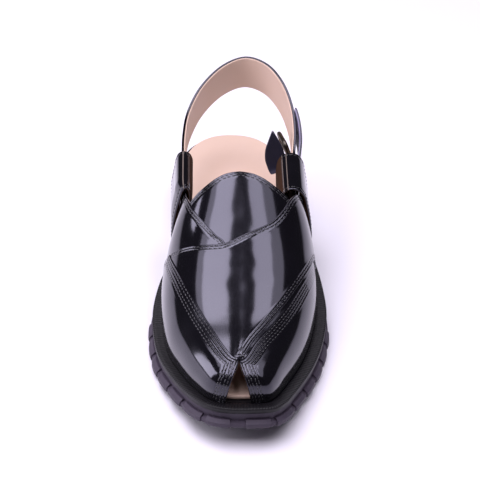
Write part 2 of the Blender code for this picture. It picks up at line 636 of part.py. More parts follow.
# the pointed billet comes out of the lateral loop upright and turns to face the toe
BILLET = [  # share of the lateral reach, share of the loop's length behind it, share of its top, turn, half width
    (0.668, -0.4336, 0.7143, 0, 0.914), (0.668, 0.0121, 0.7143, 0, 0.914),
    (0.6518, 0.1085, 0.7214, 18, 0.929), (0.6194, 0.1832, 0.744, 48, 0.957),
    (0.5749, 0.217, 0.7976, 78, 0.986), (0.5445, 0.2314, 0.869, 90, 1),
    (0.5304, 0.2387, 0.9405, 90, 0.886), (0.5182, 0.2435, 1.0119, 90, 0.6),
    (0.5061, 0.2459, 1.0714, 90, 0.314), (0.498, 0.2483, 1.119, 90, 0.086),
]
centres = [Vector((a * LOOP_OUT_LATERAL, LOOP_BACK + b * LOOP_LENGTH, c * LOOP_TOP)) for a, b, c, _, _ in BILLET]
points = []
for i, row in enumerate(BILLET):
    ahead = (centres[min(i + 1, len(BILLET) - 1)] - centres[max(i - 1, 0)]).normalized()
    upright = Vector((0, 0, 1)) if row[3] < 45 else Vector((0, -1, 0.3))
    upright = (upright - ahead * ahead.dot(upright)).normalized()
    inboard = (Vector((-1, 0, 0)) - ahead * ahead.dot(Vector((-1, 0, 0)))).normalized()
    turn = np.radians(row[3])
    wide = Vector((0, 0, 1)) * np.cos(turn) + inboard * np.sin(turn)
    wide = (wide - ahead * ahead.dot(wide)).normalized()
    face = ahead.cross(wide).normalized()
    for a, b in ((-1, -1), (1, -1), (1, 1), (-1, 1)):
        points.append(centres[i] + wide * (a * row[4] * BILLET_HALF) + face * (b * BILLET_THICK / 2))
faces = [(0, 1, 2, 3), tuple(range(4 * len(BILLET) - 4, 4 * len(BILLET)))]
for i in range(len(BILLET) - 1):
    for j in range(4):
        k = (j + 1) % 4
        faces.append((i * 4 + j, i * 4 + k, (i + 1) * 4 + k, (i + 1) * 4 + j))
billet = add_mesh("billet", points, faces)

# the buckle stands edge-on between the billet and the strap, leaning inboard
BUCKLE_HALF = Vector((BUCKLE_WIDE, BUCKLE_TALL, 0))
BUCKLE_CENTRE = Vector((0.671 * LOOP_OUT_LATERAL, LOOP_BACK + 0.4097 * LOOP_LENGTH, 0.9369 * LOOP_TOP))
BUCKLE_PLACE = Matrix.Translation(BUCKLE_CENTRE) @ Matrix(
    ((-0.2425, -0.332, 0.9157, 0), (0.964, 0.022, 0.2642, 0), (-0.1079, 0.943, 0.3028, 0), (0, 0, 0, 1)))


def wire(name, path, radius, closed, sides=8):
    """A round bar along a path in the buckle's own plane."""
    path = [Vector(p) for p in path]
    n = len(path)
    points = []
    for i, p in enumerate(path):
        ahead = path[(i + 1) % n if closed else min(i + 1, n - 1)] - path[(i - 1) % n if closed else max(i - 1, 0)]
        ahead.normalize()
        up = Vector((0, 0, 1))
        out = ahead.cross(up).normalized()
        for j in range(sides):
            a = 2 * np.pi * (j + 0.5) / sides
            points.append(BUCKLE_PLACE @ (p + out * (radius * np.cos(a)) + up * (radius * np.sin(a))))
    faces = []
    for i in range(n if closed else n - 1):
        for j in range(sides):
            a, b = i * sides, ((i + 1) % n) * sides
            k = (j + 1) % sides
            faces.append((a + j, a + k, b + k, b + j))
    if not closed:
        faces += [tuple(range(sides)), tuple(range((n - 1) * sides, n * sides))]
    return add_mesh(name, points, faces)


corner = BUCKLE_CORNER
frame = []
for sx, sy, start in ((1, 1, 0), (-1, 1, 90), (-1, -1, 180), (1, -1, 270)):
    for step in range(5):
        a = np.radians(start + 22.5 * step)
        frame.append((sx * (BUCKLE_HALF.x - corner) + corner * np.cos(a), sy * (BUCKLE_HALF.y - corner) + corner * np.sin(a), 0))
wire("buckle_frame", frame, BUCKLE_WIRE, True)
reach = BUCKLE_HALF.y - BUCKLE_WIRE - 0.35 * MM
wire("buckle_prong", [(0, -reach, 0), (0, -reach * 0.4, 0.9 * MM), (0, reach * 0.3, 1.2 * MM), (0, reach, 0.3 * MM)], PRONG_RADIUS, False)

# move everything so that the shoe stands on z = 0 over the origin
bpy.context.view_layer.update()
low, high = np.full(3, 9.0), np.full(3, -9.0)
graph = bpy.context.evaluated_depsgraph_get()
for item in SHOE.objects:
    shape = item.evaluated_get(graph).to_mesh()
    for v in shape.vertices:
        low = np.minimum(low, v.co)
        high = np.maximum(high, v.co)
shift = Vector((-(low[0] + high[0]) / 2, -(low[1] + high[1]) / 2, -low[2]))
print("shift", [round(v, 6) for v in shift], "size", [round(v, 5) for v in (high - low)])
for item in bpy.data.objects:
    item.data.transform(Matrix.Translation(shift))
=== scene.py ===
"""Looks of the peshawari chappal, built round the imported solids.

The tables below hold the curves of the part's own solids, in the part's coordinates: the toe tip
is at y = 0, the heel along +Y, the lateral side +X. SHIFT moves everything into the frame's place.
A place on the upper is written (along, girth): along runs from the last's toe, 0, to its back, 1,
and girth from the medial welt, -1, over the top, 0, to the lateral welt, 1.
"""

import bmesh
import bpy
import numpy as np
from mathutils import Matrix, Vector, kdtree


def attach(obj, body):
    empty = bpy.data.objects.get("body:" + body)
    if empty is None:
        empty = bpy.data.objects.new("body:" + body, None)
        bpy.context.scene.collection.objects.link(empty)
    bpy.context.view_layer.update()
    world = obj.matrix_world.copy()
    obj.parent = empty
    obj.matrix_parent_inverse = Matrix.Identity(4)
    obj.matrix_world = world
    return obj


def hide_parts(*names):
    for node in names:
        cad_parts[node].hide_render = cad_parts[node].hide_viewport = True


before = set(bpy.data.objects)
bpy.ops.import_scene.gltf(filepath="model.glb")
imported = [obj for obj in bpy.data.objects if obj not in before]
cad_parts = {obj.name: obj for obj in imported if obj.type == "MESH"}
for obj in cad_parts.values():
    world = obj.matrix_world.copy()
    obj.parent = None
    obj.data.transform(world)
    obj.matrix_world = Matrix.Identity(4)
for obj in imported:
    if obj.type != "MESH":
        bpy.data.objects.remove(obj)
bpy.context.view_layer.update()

MM = 0.001
SHIFT = np.array([-2.774, -148.588, 0.0]) * MM
SOLE_LENGTH = 298 * MM
BALL_WIDTH = 117 * MM
HEEL_WIDTH = 78 * MM
GAP = 0.3 * MM
MIDSOLE_THICK = 4.8 * MM
LINING = 0.6 * MM
BASE_WALL = 1.4 * MM
WING_OUTER = 2.1 * MM
VAMP_OUTER = 2.5 * MM
TOE_PANEL_OUTER = 3.1 * MM
STRAP_THICK = 2.6 * MM
STRAP_BAND = 25.5 * MM
STRAP_MIDDLE = 2 * MM
STRAP_HALF = 39 * MM
STRAP_START = 205 * MM
STRAP_REACH = 79 * MM
LOOP_WALL = 1.8 * MM
LOOP_FRONT = 164.5 * MM
LOOP_BACK = 206 * MM
LOOP_TOP = 84 * MM
LOOP_PINCH = 9 * MM
LOOP_SECTION = 59.8 * MM
LOOP_SWAY_MOST = 2.6 * MM
LOOP_SWAY_FADE = 0.855
LEAF_THICK = 2 * MM
LEAF_BAND = 22 * MM
LEAF_REACH = 0.272
LEAF_BULGE = 3.2 * MM
BILLET_THICK = 1.9 * MM
BUCKLE_WIRE = 1.6 * MM
BUCKLE_CORNER = 3.2 * MM
PRONG_RADIUS = 0.8 * MM
SECTION_BULGE = 2.2 * MM
UPPER_BACK = 0.70
TOE_CENTRE = 0.081
EDGE_RADIUS = 0.7 * MM
WAVE_FADE = 6 * MM
STITCH_PITCH = 3.2 * MM
STITCH_SUNK = 0.2 * MM
LOOP_SEAM = 2.6 * MM
LINING_SWELL = 3.9 * MM
LINING_SWELL_START = 171 * MM
LINING_SWELL_BUILD = 6 * MM
BAND_RADIUS = 0.6 * MM
FACING_SET_IN = 0.4 * MM

# the sole's outline: share of its length, and half width as a share of BALL_WIDTH or HEEL_WIDTH
OUTLINE_LATERAL = [
    (0.003, 0.100), (0.012, 0.205), (0.042, 0.268), (0.090, 0.325), (0.190, 0.430),
    (0.275, 0.490), (0.375, 0.524), (0.465, 0.510), (0.600, 0.443),
]
OUTLINE_MEDIAL = [
    (0.004, 0.085), (0.028, 0.192), (0.080, 0.284), (0.153, 0.375), (0.235, 0.446),
    (0.370, 0.477), (0.475, 0.440), (0.560, 0.372),
]
HEEL_LATERAL = [(0.735, 0.505), (0.830, 0.492), (0.905, 0.452), (0.962, 0.325), (0.992, 0.135)]
HEEL_MEDIAL = [(0.700, 0.480), (0.830, 0.508), (0.905, 0.475), (0.962, 0.350), (0.992, 0.160)]
# heights in mm by share of the sole's length: its underside, its top, and the upper's ridge
BOTTOM_LINE = [
    (-0.05, 20.5), (0.0, 16.5), (0.07, 10.8), (0.14, 6.3), (0.21, 2.8), (0.275, 0.7),
    (0.33, 0.0), (1.1, 0.0),
]
TOP_LINE = [
    (-0.05, 36.0), (0.0, 32.3), (0.07, 26.6), (0.14, 22.6), (0.21, 20.0), (0.30, 18.6),
    (0.40, 18.9), (0.50, 21.2), (0.60, 25.0), (0.72, 28.6), (0.86, 30.8), (1.02, 32.2),
]
RIDGE_LINE = [
    (0.05, 48.0), (0.08, 51.0), (0.13, 54.0), (0.20, 57.5), (0.28, 63.5), (0.36, 72.5),
    (0.42, 81.0), (0.52, 102.5), (0.62, 113.0), (0.75, 122.0),
]
# how far the upper, medial and lateral, and the insole stand in from the sole's edge, in mm
RIM_LINE = [(0.0, 9.5, 9.5), (0.35, 9.0, 9.0), (0.50, 6.0, 7.6), (0.58, 4.2, 7.2), (1.0, 3.0, 4.0)]
INSOLE_LINE = [
    (0.0, 12.5), (0.35, 12.0), (0.50, 9.5), (0.56, 8.0), (0.69, 7.6), (0.76, 3.6), (1.0, 3.2),
]
# powers that round the upper's cross section in plan and in height, by share of the length
SECTION_POWER = [(0.0, 2.7, 2.5), (0.3, 2.6, 2.3), (0.5, 2.4, 2.0), (0.8, 2.3, 2.0)]
# edges of the toe opening and of the panels, as places; the opening's girth has no sign
OPENING_EDGE = [(0.0, 0.0), (0.012, 0.25), (0.022, 0.50), (0.030, 0.80), (0.036, 1.0)]
MEDIAL_ARM = [
    (0.0, 0.0), (0.10, -0.13), (0.19, -0.23), (0.305, -0.33), (0.425, -0.42), (0.52, -0.50),
    (0.62, -0.61),
]
LATERAL_ARM = [
    (0.0, 0.0), (0.09, 0.08), (0.18, 0.17), (0.27, 0.29), (0.365, 0.40), (0.485, 0.51),
    (0.58, 0.61), (0.645, 0.70), (0.668, 0.83),
]
VAMP_BACK = [
    (0.618, -0.59), (0.585, -0.43), (0.56, -0.25), (0.555, -0.11), (0.585, 0.05), (0.63, 0.22),
    (0.67, 0.29), (0.73, 0.365), (0.78, 0.455), (0.812, 0.535), (0.812, 0.68), (0.812, 0.83),
]
TOE_PANEL_BACK = [
    (0.738, -0.995), (0.70, -0.91), (0.665, -0.81), (0.64, -0.70), (0.62, -0.61),
]
WING_TOP = [
    (0.535, -0.09), (0.56, -0.11), (0.585, -0.17), (0.625, -0.24), (0.675, -0.32), (0.73, -0.39),
    (0.785, -0.47), (0.812, -0.50),
]
# the upper's back edge: girth without its sign, along; the tongue's edge is drawn up to 3 mm
# shorter than the solid's between its middle and its ends
BODY_BACK = [
    (0.0, 0.750), (0.08, 0.747), (0.15, 0.740), (0.22, 0.731), (0.30, 0.724), (0.36, 0.718),
    (0.42, 0.712), (0.55, 0.699), (0.62, 0.672), (0.80, 0.668), (0.90, 0.70), (1.0, 0.738),
]
# the heel strap: shares of STRAP_HALF and STRAP_REACH in plan, and its top edge in mm
STRAP_LINE = [
    (-0.987, -0.40, 80.5), (-0.987, 0.00, 80.8), (-0.975, 0.30, 82.5), (-0.900, 0.56, 86.5),
    (-0.660, 0.81, 95.0), (-0.270, 0.965, 104.5), (0.120, 1.00, 109.5), (0.480, 0.92, 108.5),
    (0.760, 0.73, 104.0), (0.930, 0.50, 96.0), (0.980, 0.28, 88.0), (0.950, 0.02, 81.2),
    (0.935, -0.40, 80.5),
]
# the loops' cross sections, outward and upward in mm, from the outer foot over to the inner one
LOOP_MEDIAL = [
    (37.6, 0.0), (41.8, 9.0), (43.4, 20.0), (43.4, 34.0), (41.6, 47.0), (40.8, 53.0),
    (39.2, 57.2), (36.2, 58.9), (32.8, 57.2), (31.0, 52.8), (31.0, 44.0), (31.6, 33.0), (32.4, 22.0),
]
LOOP_LATERAL = [
    (46.8, 0.0), (49.0, 9.0), (49.4, 20.0), (48.4, 34.0), (46.4, 46.0), (45.2, 52.0),
    (42.2, 57.0), (37.4, 59.0), (32.4, 57.2), (29.4, 52.0), (28.6, 44.0), (29.0, 33.0), (30.0, 22.0),
]
LOOP_MEDIAL_FRONT = [
    (37.6, 0.0), (41.8, 9.0), (43.2, 17.0), (42.8, 24.0), (42.0, 32.0), (40.7, 40.0),
    (39.3, 46.5), (38.1, 52.0), (36.7, 56.6), (34.8, 58.9), (33.0, 57.4), (32.2, 53.0),
    (32.0, 44.0), (32.2, 33.0), (32.6, 22.0),
]
# how the loops lean outward along their length: medial, lateral, as shares of LOOP_SWAY_MOST
LOOP_SWAY = [(0.0, 0.0, 1.0), (0.52, 0.0, 0.23), (1.0, -0.08, -0.22)]
# the strap's doubled end: share of its length, bulge share, and drop as a share of the band
LEAF_LINE = [
    (0.0, 0.0, 0.19), (0.30, 0.05, 0.185), (0.46, 0.40, 0.16), (0.64, 0.62, 0.09), (0.82, 0.42, 0.03),
    (1.0, 0.0, 0.01),
]
# the billet: x, y, z, turn in degrees toward the foot, half width; lengths in mm
BILLET = [
    (33.0, 188.0, 60.0, 0.0, 6.4), (33.0, 206.5, 60.0, 0.0, 6.4), (32.2, 210.5, 60.6, 18.0, 6.5),
    (30.6, 213.6, 62.5, 48.0, 6.7), (28.4, 215.0, 67.0, 78.0, 6.9), (26.9, 215.6, 73.0, 90.0, 7.0),
    (26.2, 215.9, 79.0, 90.0, 6.2), (25.6, 216.1, 85.0, 90.0, 4.2), (25.0, 216.2, 90.0, 90.0, 2.2),
    (24.6, 216.3, 94.0, 90.0, 0.6),
]
# where lines lie across a panel's rounded edge
EDGE_STEPS = np.array([0.0, 0.05, 0.18, 0.38, 0.65, 1.0]) * MM


# curves and surfaces


def smooth(table, x, column=1):
    """Monotone cubic through a table's columns."""
    a = np.array([r[0] for r in table], float)
    b = np.array([r[column] for r in table], float)
    h = np.diff(a)
    s = np.diff(b) / h
    m = np.zeros_like(b)
    m[0] = s[0]
    m[-1] = s[-1]
    for i in range(1, len(b) - 1):
        if s[i - 1] * s[i] > 0:
            w1 = 2 * h[i] + h[i - 1]
            w2 = h[i] + 2 * h[i - 1]
            m[i] = (w1 + w2) / (w1 / s[i - 1] + w2 / s[i])
    x = np.clip(np.asarray(x, float), a[0], a[-1])
    i = np.clip(np.searchsorted(a, x, side="right") - 1, 0, len(h) - 1)
    t = (x - a[i]) / h[i]
    return ((2 * t**3 - 3 * t**2 + 1) * b[i] + (t**3 - 2 * t**2 + t) * h[i] * m[i]
            + (-2 * t**3 + 3 * t**2) * b[i + 1] + (t**3 - t**2) * h[i] * m[i + 1])


def catmull(points, closed=False, per=12):
    """Centripetal curve through the points."""
    p = np.asarray(points, float)
    n = len(p)
    out = []
    for i in range(n if closed else n - 1):
        if closed:
            q = [p[(i + j) % n] for j in (-1, 0, 1, 2)]
        else:
            q = [p[max(i - 1, 0)], p[i], p[i + 1], p[min(i + 2, n - 1)]]
        d = [np.linalg.norm(q[j + 1] - q[j]) ** 0.5 for j in range(3)]
        m1 = q[2] - q[1]
        m2 = q[2] - q[1]
        if d[0] > 1e-6:
            m1 = m1 + d[1] * ((q[1] - q[0]) / d[0] - (q[2] - q[0]) / (d[0] + d[1]))
        if d[2] > 1e-6:
            m2 = m2 + d[1] * ((q[3] - q[2]) / d[2] - (q[3] - q[1]) / (d[1] + d[2]))
        t = np.linspace(0, 1, per, endpoint=False)[:, None]
        out.append((2 * t**3 - 3 * t**2 + 1) * q[1] + (t**3 - 2 * t**2 + t) * m1
                   + (-2 * t**3 + 3 * t**2) * q[2] + (t**3 - t**2) * m2)
    out = np.concatenate(out)
    return out if closed else np.vstack([out, p[-1]])


def linear(table, x, by=0, column=1):
    """Straight lines through a table's rows, one column against another."""
    return np.interp(x, [r[by] for r in table], [r[column] for r in table])


def walk(path):
    """Distance walked along a path."""
    return np.concatenate([[0], np.cumsum(np.linalg.norm(np.diff(path, axis=0), axis=1))])


def resample(path, n):
    """Evenly spaced points along a path."""
    s = walk(path)
    t = np.linspace(0, s[-1], n)
    return np.stack([np.interp(t, s, path[:, i]) for i in range(path.shape[1])], 1)


def unit(v):
    """Vectors brought to length one."""
    return v / np.maximum(np.linalg.norm(v, axis=-1, keepdims=True), 1e-12)


def half_outlines(n):
    """Lateral and medial halves of the sole's outline, from the toe to the heel."""
    lateral = [(r * BALL_WIDTH, s * SOLE_LENGTH) for s, r in OUTLINE_LATERAL]
    lateral += [(r * HEEL_WIDTH, s * SOLE_LENGTH) for s, r in HEEL_LATERAL]
    medial = [(-r * BALL_WIDTH, s * SOLE_LENGTH) for s, r in OUTLINE_MEDIAL]
    medial += [(-r * HEEL_WIDTH, s * SOLE_LENGTH) for s, r in HEEL_MEDIAL]
    ring = catmull(lateral + medial[::-1], True, 24)
    x = ring[:, 0]
    count = len(ring)
    toe = [i for i in range(count)
           if x[i] <= 0 < x[(i + 1) % count] and ring[i, 1] < SOLE_LENGTH / 2][0]
    ring = np.roll(ring, -(toe + 1), 0)
    x = ring[:, 0]
    heel = [i for i in range(count - 1) if x[i] >= 0 > x[i + 1]][0]
    tip = np.array([0, ring[0, 1]])
    end = np.array([0, ring[heel, 1]])
    lateral = np.vstack([tip, ring[1:heel + 1], end])
    medial = np.vstack([tip, ring[heel + 1:][::-1], end])
    return resample(lateral, n), resample(medial, n)


def moved(half, side, distance):
    """A half outline moved outward by a distance, which may vary along it."""
    t = unit(np.gradient(half, axis=0))
    normal = np.stack([t[:, 1], -t[:, 0]], 1) * side
    normal[0] = (0, -1)
    normal[-1] = (0, 1)
    return half + normal * np.reshape(distance, (-1, 1))


def top_line(y):
    """Height of the sole's top, where the upper and the insole stand."""
    return smooth(TOP_LINE, y / SOLE_LENGTH) * MM


def bottom_line(y):
    """Height of the sole's underside."""
    return smooth(BOTTOM_LINE, y / SOLE_LENGTH) * MM


def last_grid(rows=161, half=61):
    """The upper's inner surface: rows from the toe back, columns from medial to lateral."""
    edges = {}
    for side, outline in zip((1, -1), half_outlines(401)):
        rim = smooth(RIM_LINE, outline[:, 1] / SOLE_LENGTH, 1 if side < 0 else 2) * MM
        feather = moved(outline, side, -rim)
        stop = int(np.argmax(feather[:, 1] > UPPER_BACK * SOLE_LENGTH))
        edges[side] = resample(feather[:stop + 1], rows)
    middle = (edges[1][:, 1] + edges[-1][:, 1]) / 2
    ridge_y = np.sqrt(middle**2 + (TOE_CENTRE * SOLE_LENGTH) ** 2)
    share = ridge_y / SOLE_LENGTH
    ridge_x = np.interp(share, [0, 0.35, 0.6], [0, 0.5 * MM, MM])
    ridge = np.stack([ridge_x, ridge_y, smooth(RIDGE_LINE, share) * MM], 1)
    grid = np.zeros((rows, 2 * half - 1, 3))
    phi = np.linspace(0, np.pi / 2, 401)
    for side in (1, -1):
        for i in range(rows):
            foot = edges[side][i]
            plan = 1 - np.abs(np.cos(phi)) ** (2 / smooth(SECTION_POWER, share[i], 1))
            rise = np.sin(phi) ** (2 / smooth(SECTION_POWER, share[i], 2))
            xy = foot + (ridge[i, :2] - foot) * plan[:, None]
            away = unit(foot - ridge[i, :2])
            xy = xy + away * (SECTION_BULGE * np.sin(2 * phi))[:, None]
            base = top_line(foot[1]) + GAP
            line = resample(np.column_stack([xy, base + (ridge[i, 2] - base) * rise]), half)
            if side < 0:
                grid[i, :half] = line
            else:
                grid[i, half - 1:] = line[::-1]
    return grid


def soften(grid, rounds):
    """Takes the small kinks out of a grid, its edges kept."""
    for _ in range(rounds):
        inner = (grid[:-2, 1:-1] + grid[2:, 1:-1] + grid[1:-1, :-2] + grid[1:-1, 2:]) / 4
        grid[1:-1, 1:-1] = 0.5 * grid[1:-1, 1:-1] + 0.5 * inner
    return grid


def grid_normals(grid):
    """Outward directions; the first row is a fold, where left and right columns meet."""
    along = np.gradient(grid, axis=0)
    around = np.gradient(grid, axis=1)
    centre = grid.shape[1] // 2
    along[0] = grid[1, ::-1] - grid[1]
    around[0, centre] = around[0, centre - 1]
    along[0, centre] = along[0, centre - 1]
    normal = unit(np.cross(around, along))
    # every direction points away from a line low inside the shoe
    heart = np.stack([0 * grid[..., 0], np.maximum(grid[..., 1], 45 * MM),
                      0 * grid[..., 0] + 20 * MM], -1)
    normal *= np.sign(np.sum(normal * (grid - heart), axis=2))[..., None]
    normal[0] += normal[0, ::-1]
    normal[0] = unit(normal[0])
    return normal


def padded(grid):
    """A grid with one more line on each side, and the fold mirrored at its first row."""
    grid = np.concatenate([grid[1:2, ::-1], grid, 2 * grid[-1:] - grid[-2:-1]], 0)
    left = 2 * grid[:, :1] - grid[:, 1:2]
    right = 2 * grid[:, -1:] - grid[:, -2:-1]
    return np.concatenate([left, grid, right], 1)


def cubic(t):
    """Weights of four neighbours for a smooth value between the middle two."""
    return [-0.5 * t + t**2 - 0.5 * t**3, 1 - 2.5 * t**2 + 1.5 * t**3,
            0.5 * t + 2 * t**2 - 1.5 * t**3, -0.5 * t**2 + 0.5 * t**3]


def sample(grid, places):
    """Smooth values of a padded grid at (along, girth) places."""
    rows, columns = grid.shape[0] - 2, grid.shape[1] - 2
    a = np.clip(places[..., 0] * (rows - 1), 0, rows - 1 - 1e-9)
    b = np.clip((places[..., 1] + 1) / 2 * (columns - 1), 0, columns - 1 - 1e-9)
    i, j = a.astype(int), b.astype(int)
    wa, wb = cubic((a - i)[..., None]), cubic((b - j)[..., None])
    out = 0
    for p in range(4):
        for q in range(4):
            out = out + grid[i + p, j + q] * wa[p] * wb[q]
    return out


LAST = soften(last_grid(), 8)
LAST_GRID = padded(LAST)
LAST_NORMALS = padded(grid_normals(LAST))


def normals_at(places):
    """Outward directions at places."""
    return unit(sample(LAST_NORMALS, places))


def surface(places, offset):
    """Points at an offset outside the last, never under the welt's top."""
    offset = np.reshape(offset, np.shape(offset) + (1,))
    point = sample(LAST_GRID, places) + normals_at(places) * offset
    point[..., 2] = np.maximum(point[..., 2], top_line(point[..., 1]) + GAP)
    return point


def line_through(table, n):
    """A smooth, evenly spaced line through a table's places."""
    return resample(catmull(table, False, 24), n)


def coons(front, back, left, right):
    """A patch of places between four edges; front and back run from left to right."""
    s = np.linspace(0, 1, len(front))[None, :, None]
    t = np.linspace(0, 1, len(left))[:, None, None]
    across = (1 - t) * front[None] + t * back[None]
    up = (1 - s) * left[:, None] + s * right[:, None]
    corners = ((1 - s) * (1 - t) * front[0] + s * (1 - t) * front[-1]
               + (1 - s) * t * back[0] + s * t * back[-1])
    return across + up - corners


def nearest(target, guess):
    """Places on the last's surface nearest to points, from guesses close by."""
    place = np.array(guess, float)
    eps = 1e-3
    for _ in range(8):
        point = sample(LAST_GRID, place)
        da = (sample(LAST_GRID, place + (eps, 0)) - sample(LAST_GRID, place - (eps, 0))) / (2 * eps)
        dg = (sample(LAST_GRID, place + (0, eps)) - sample(LAST_GRID, place - (0, eps))) / (2 * eps)
        gap = target - point
        aa, ag, gg = (da * da).sum(-1), (da * dg).sum(-1), (dg * dg).sum(-1)
        ra, rg = (da * gap).sum(-1), (dg * gap).sum(-1)
        aa, gg = aa + 1e-7, gg + 1e-7
        det = aa * gg - ag * ag
        place = place + np.stack([(ra * gg - rg * ag) / det, (rg * aa - ra * ag) / det], -1)
        place[..., 0] = np.clip(place[..., 0], 0.001, 1)
        place[..., 1] = np.clip(place[..., 1], -1, 1)
    return place


def inset(edge, distance, inside):
    """Places at a distance from an edge, on the side of a place inside the panel."""
    place = resample(np.asarray(edge, float), 240)
    point = sample(LAST_GRID, place)
    across = unit(np.cross(normals_at(place), unit(np.gradient(point, axis=0))))
    middle = len(place) // 2
    toward = sample(LAST_GRID, np.array(inside, float)) - point[middle]
    if np.dot(across[middle], toward) < 0:
        across = -across
    for share in (0.25, 0.5, 0.75, 1.0):
        place = nearest(point + across * distance * share, place)
    return place


def clear_of(row, edge, distance):
    """The part of a row that keeps its distance from another edge."""
    a = sample(LAST_GRID, row)
    b = sample(LAST_GRID, resample(np.asarray(edge, float), 400))
    far = np.linalg.norm(a[:, None] - b[None], axis=2).min(1)
    return row[far >= distance]


# materials


def material(name, colour, roughness, metallic=0.0, coat=0.0, coat_roughness=0.1, specular=0.5,
             sheen=0.0, grain=(900, 0.12), waves=(0, 0.0), tint=None, tint_scale=120, rough_swing=0.04,
             gloss=(1, 1, 1)):
    """A leather, rubber or metal finish: grain and waves in the bump, a mottled colour."""
    m = bpy.data.materials.new(name)
    m.use_nodes = True
    nodes, links = m.node_tree.nodes, m.node_tree.links
    shader = nodes["Principled BSDF"]
    for socket, value in (("Metallic", metallic), ("Coat Weight", coat), ("Coat Roughness", coat_roughness),
                          ("Specular IOR Level", specular), ("Specular Tint", (*gloss, 1)),
                          ("Sheen Weight", sheen), ("Sheen Roughness", 0.5)):
        shader.inputs[socket].default_value = value
    where = nodes.new("ShaderNodeTexCoord").outputs["Object"]

    def noise(scale, detail=3.0):
        """A noise pattern in the piece's own space."""
        n = nodes.new("ShaderNodeTexNoise")
        n.inputs["Scale"].default_value = scale
        n.inputs["Detail"].default_value = detail
        links.new(where, n.inputs["Vector"])
        return n.outputs["Fac"]

    mix = nodes.new("ShaderNodeMix")
    mix.data_type = "RGBA"
    mix.inputs["A"].default_value = (*colour, 1)
    mix.inputs["B"].default_value = (*(tint or [c * 1.5 for c in colour]), 1)
    links.new(noise(tint_scale), mix.inputs["Factor"])
    links.new(mix.outputs["Result"], shader.inputs["Base Color"])
    swing = nodes.new("ShaderNodeMapRange")
    swing.inputs["To Min"].default_value = roughness - rough_swing
    swing.inputs["To Max"].default_value = roughness + rough_swing
    links.new(noise(tint_scale * 1.7), swing.inputs["Value"])
    links.new(swing.outputs["Result"], shader.inputs["Roughness"])
    last = None
    for scale, strength, depth in ((grain[0], grain[1], 0.0001), (waves[0], waves[1], 0.001)):
        if not strength:
            continue
        bump = nodes.new("ShaderNodeBump")
        bump.inputs["Strength"].default_value = strength
        bump.inputs["Distance"].default_value = depth
        links.new(noise(scale, 2.0), bump.inputs["Height"])
        if last:
            links.new(last, bump.inputs["Normal"])
        last = bump.outputs["Normal"]
    links.new(last, shader.inputs["Normal"])
    return m


BLACK = material("black_polished_leather", (0.0018, 0.0016, 0.0024), 0.118, coat=0.12, coat_roughness=0.10,
                 specular=0.62, gloss=(0.83, 0.82, 1.0), rough_swing=0.02, grain=(1500, 0.035),
                 waves=(45, 0.012), tint=(0.0045, 0.004, 0.006), tint_scale=60)
TRIM = material("pale_cut_edge", (0.16, 0.13, 0.11), 0.45, grain=(2500, 0.3),
                tint=(0.10, 0.08, 0.07), tint_scale=700)
DARK_SUEDE = material("dark_brown_suede", (0.028, 0.013, 0.007), 0.85, specular=0.05, grain=(2600, 0.7),
                      tint=(0.05, 0.024, 0.014), tint_scale=250)
# lilac grey painted on the strap's doubled end: a painted reflection of the bright floor in black glossy
# leather, not the leather's own colour
LILAC_PAINTED_REFLECTION = material("strap_end_painted_reflection", (0.30, 0.27, 0.42), 0.4, grain=(2200, 0.3),
                 tint=(0.24, 0.21, 0.34), tint_scale=150)
# the cut edge's own dark grey, lightened so that it paints the continuous highlight line a rounded edge
# catches from the lights
CUT_EDGE_PAINTED_HIGHLIGHT = material("cut_edge", (0.10, 0.09, 0.105), 0.38, grain=(2500, 0.3),
               tint=(0.16, 0.145, 0.165), tint_scale=700)
SUEDE = material("brown_suede", (0.11, 0.052, 0.022), 0.85, specular=0.2, sheen=0.3, grain=(2600, 0.7),
                 tint=(0.17, 0.085, 0.040), tint_scale=250)
BEIGE = material("beige_lining", (0.60, 0.435, 0.34), 0.6, specular=0.35, grain=(1900, 0.25),
                 tint=(0.62, 0.46, 0.38), tint_scale=70)
THREAD = material("black_thread", (0.007, 0.0065, 0.008), 0.30, specular=0.7, grain=(4000, 0.6),
                  tint=(0.03, 0.03, 0.034), tint_scale=1500)
# near black that paints the shade inside the needle holes
HOLE_SHADE = material("needle_hole_painted_shade", (0.002, 0.002, 0.002), 0.95, specular=0.05, grain=(3000, 0.3), tint_scale=900)
WELT = material("welt_rubber", (0.004, 0.0035, 0.0045), 0.46, specular=0.22, grain=(1600, 0.35),
                tint=(0.009, 0.008, 0.010), tint_scale=300, rough_swing=0.08)
RUBBER = material("outsole_rubber", (0.036, 0.027, 0.043), 0.60, specular=0.35, grain=(1300, 0.5),
                  tint=(0.052, 0.040, 0.062), tint_scale=140, rough_swing=0.08)
METAL = material("antique_metal", (0.10, 0.088, 0.072), 0.36, metallic=1.0, grain=(1800, 0.3),
                 tint=(0.06, 0.052, 0.044), tint_scale=380, rough_swing=0.1)
FLESH = material("billet_flesh_side", (0.012, 0.011, 0.026), 0.7, specular=0.25, sheen=0.1,
                 grain=(2400, 0.6), tint=(0.020, 0.018, 0.040), tint_scale=260)


# mesh building


def add(name, points, faces, mats, tags=None, slot="black_leather", nodes=()):
    """A piece of the scene, moved into place, riding on the shoe, in the stead of some CAD nodes."""
    mesh = bpy.data.meshes.new(name)
    points = (np.asarray(points).reshape(-1, 3) + SHIFT).tolist()
    mesh.from_pydata(points, [], [list(map(int, f)) for f in faces])
    for m in mats:
        mesh.materials.append(m)
    if tags is not None:
        mesh.polygons.foreach_set("material_index", np.asarray(tags, np.int32))
    work = bmesh.new()
    work.from_mesh(mesh)
    bmesh.ops.remove_doubles(work, verts=work.verts, dist=1e-7)
    bmesh.ops.recalc_face_normals(work, faces=work.faces)
    work.to_mesh(mesh)
    work.free()
    mesh.polygons.foreach_set("use_smooth", [True] * len(mesh.polygons))
    item = bpy.data.objects.new(name, mesh)
    bpy.context.scene.collection.objects.link(item)
    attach(item, "root")
    if nodes:
        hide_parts(*nodes)
    return item


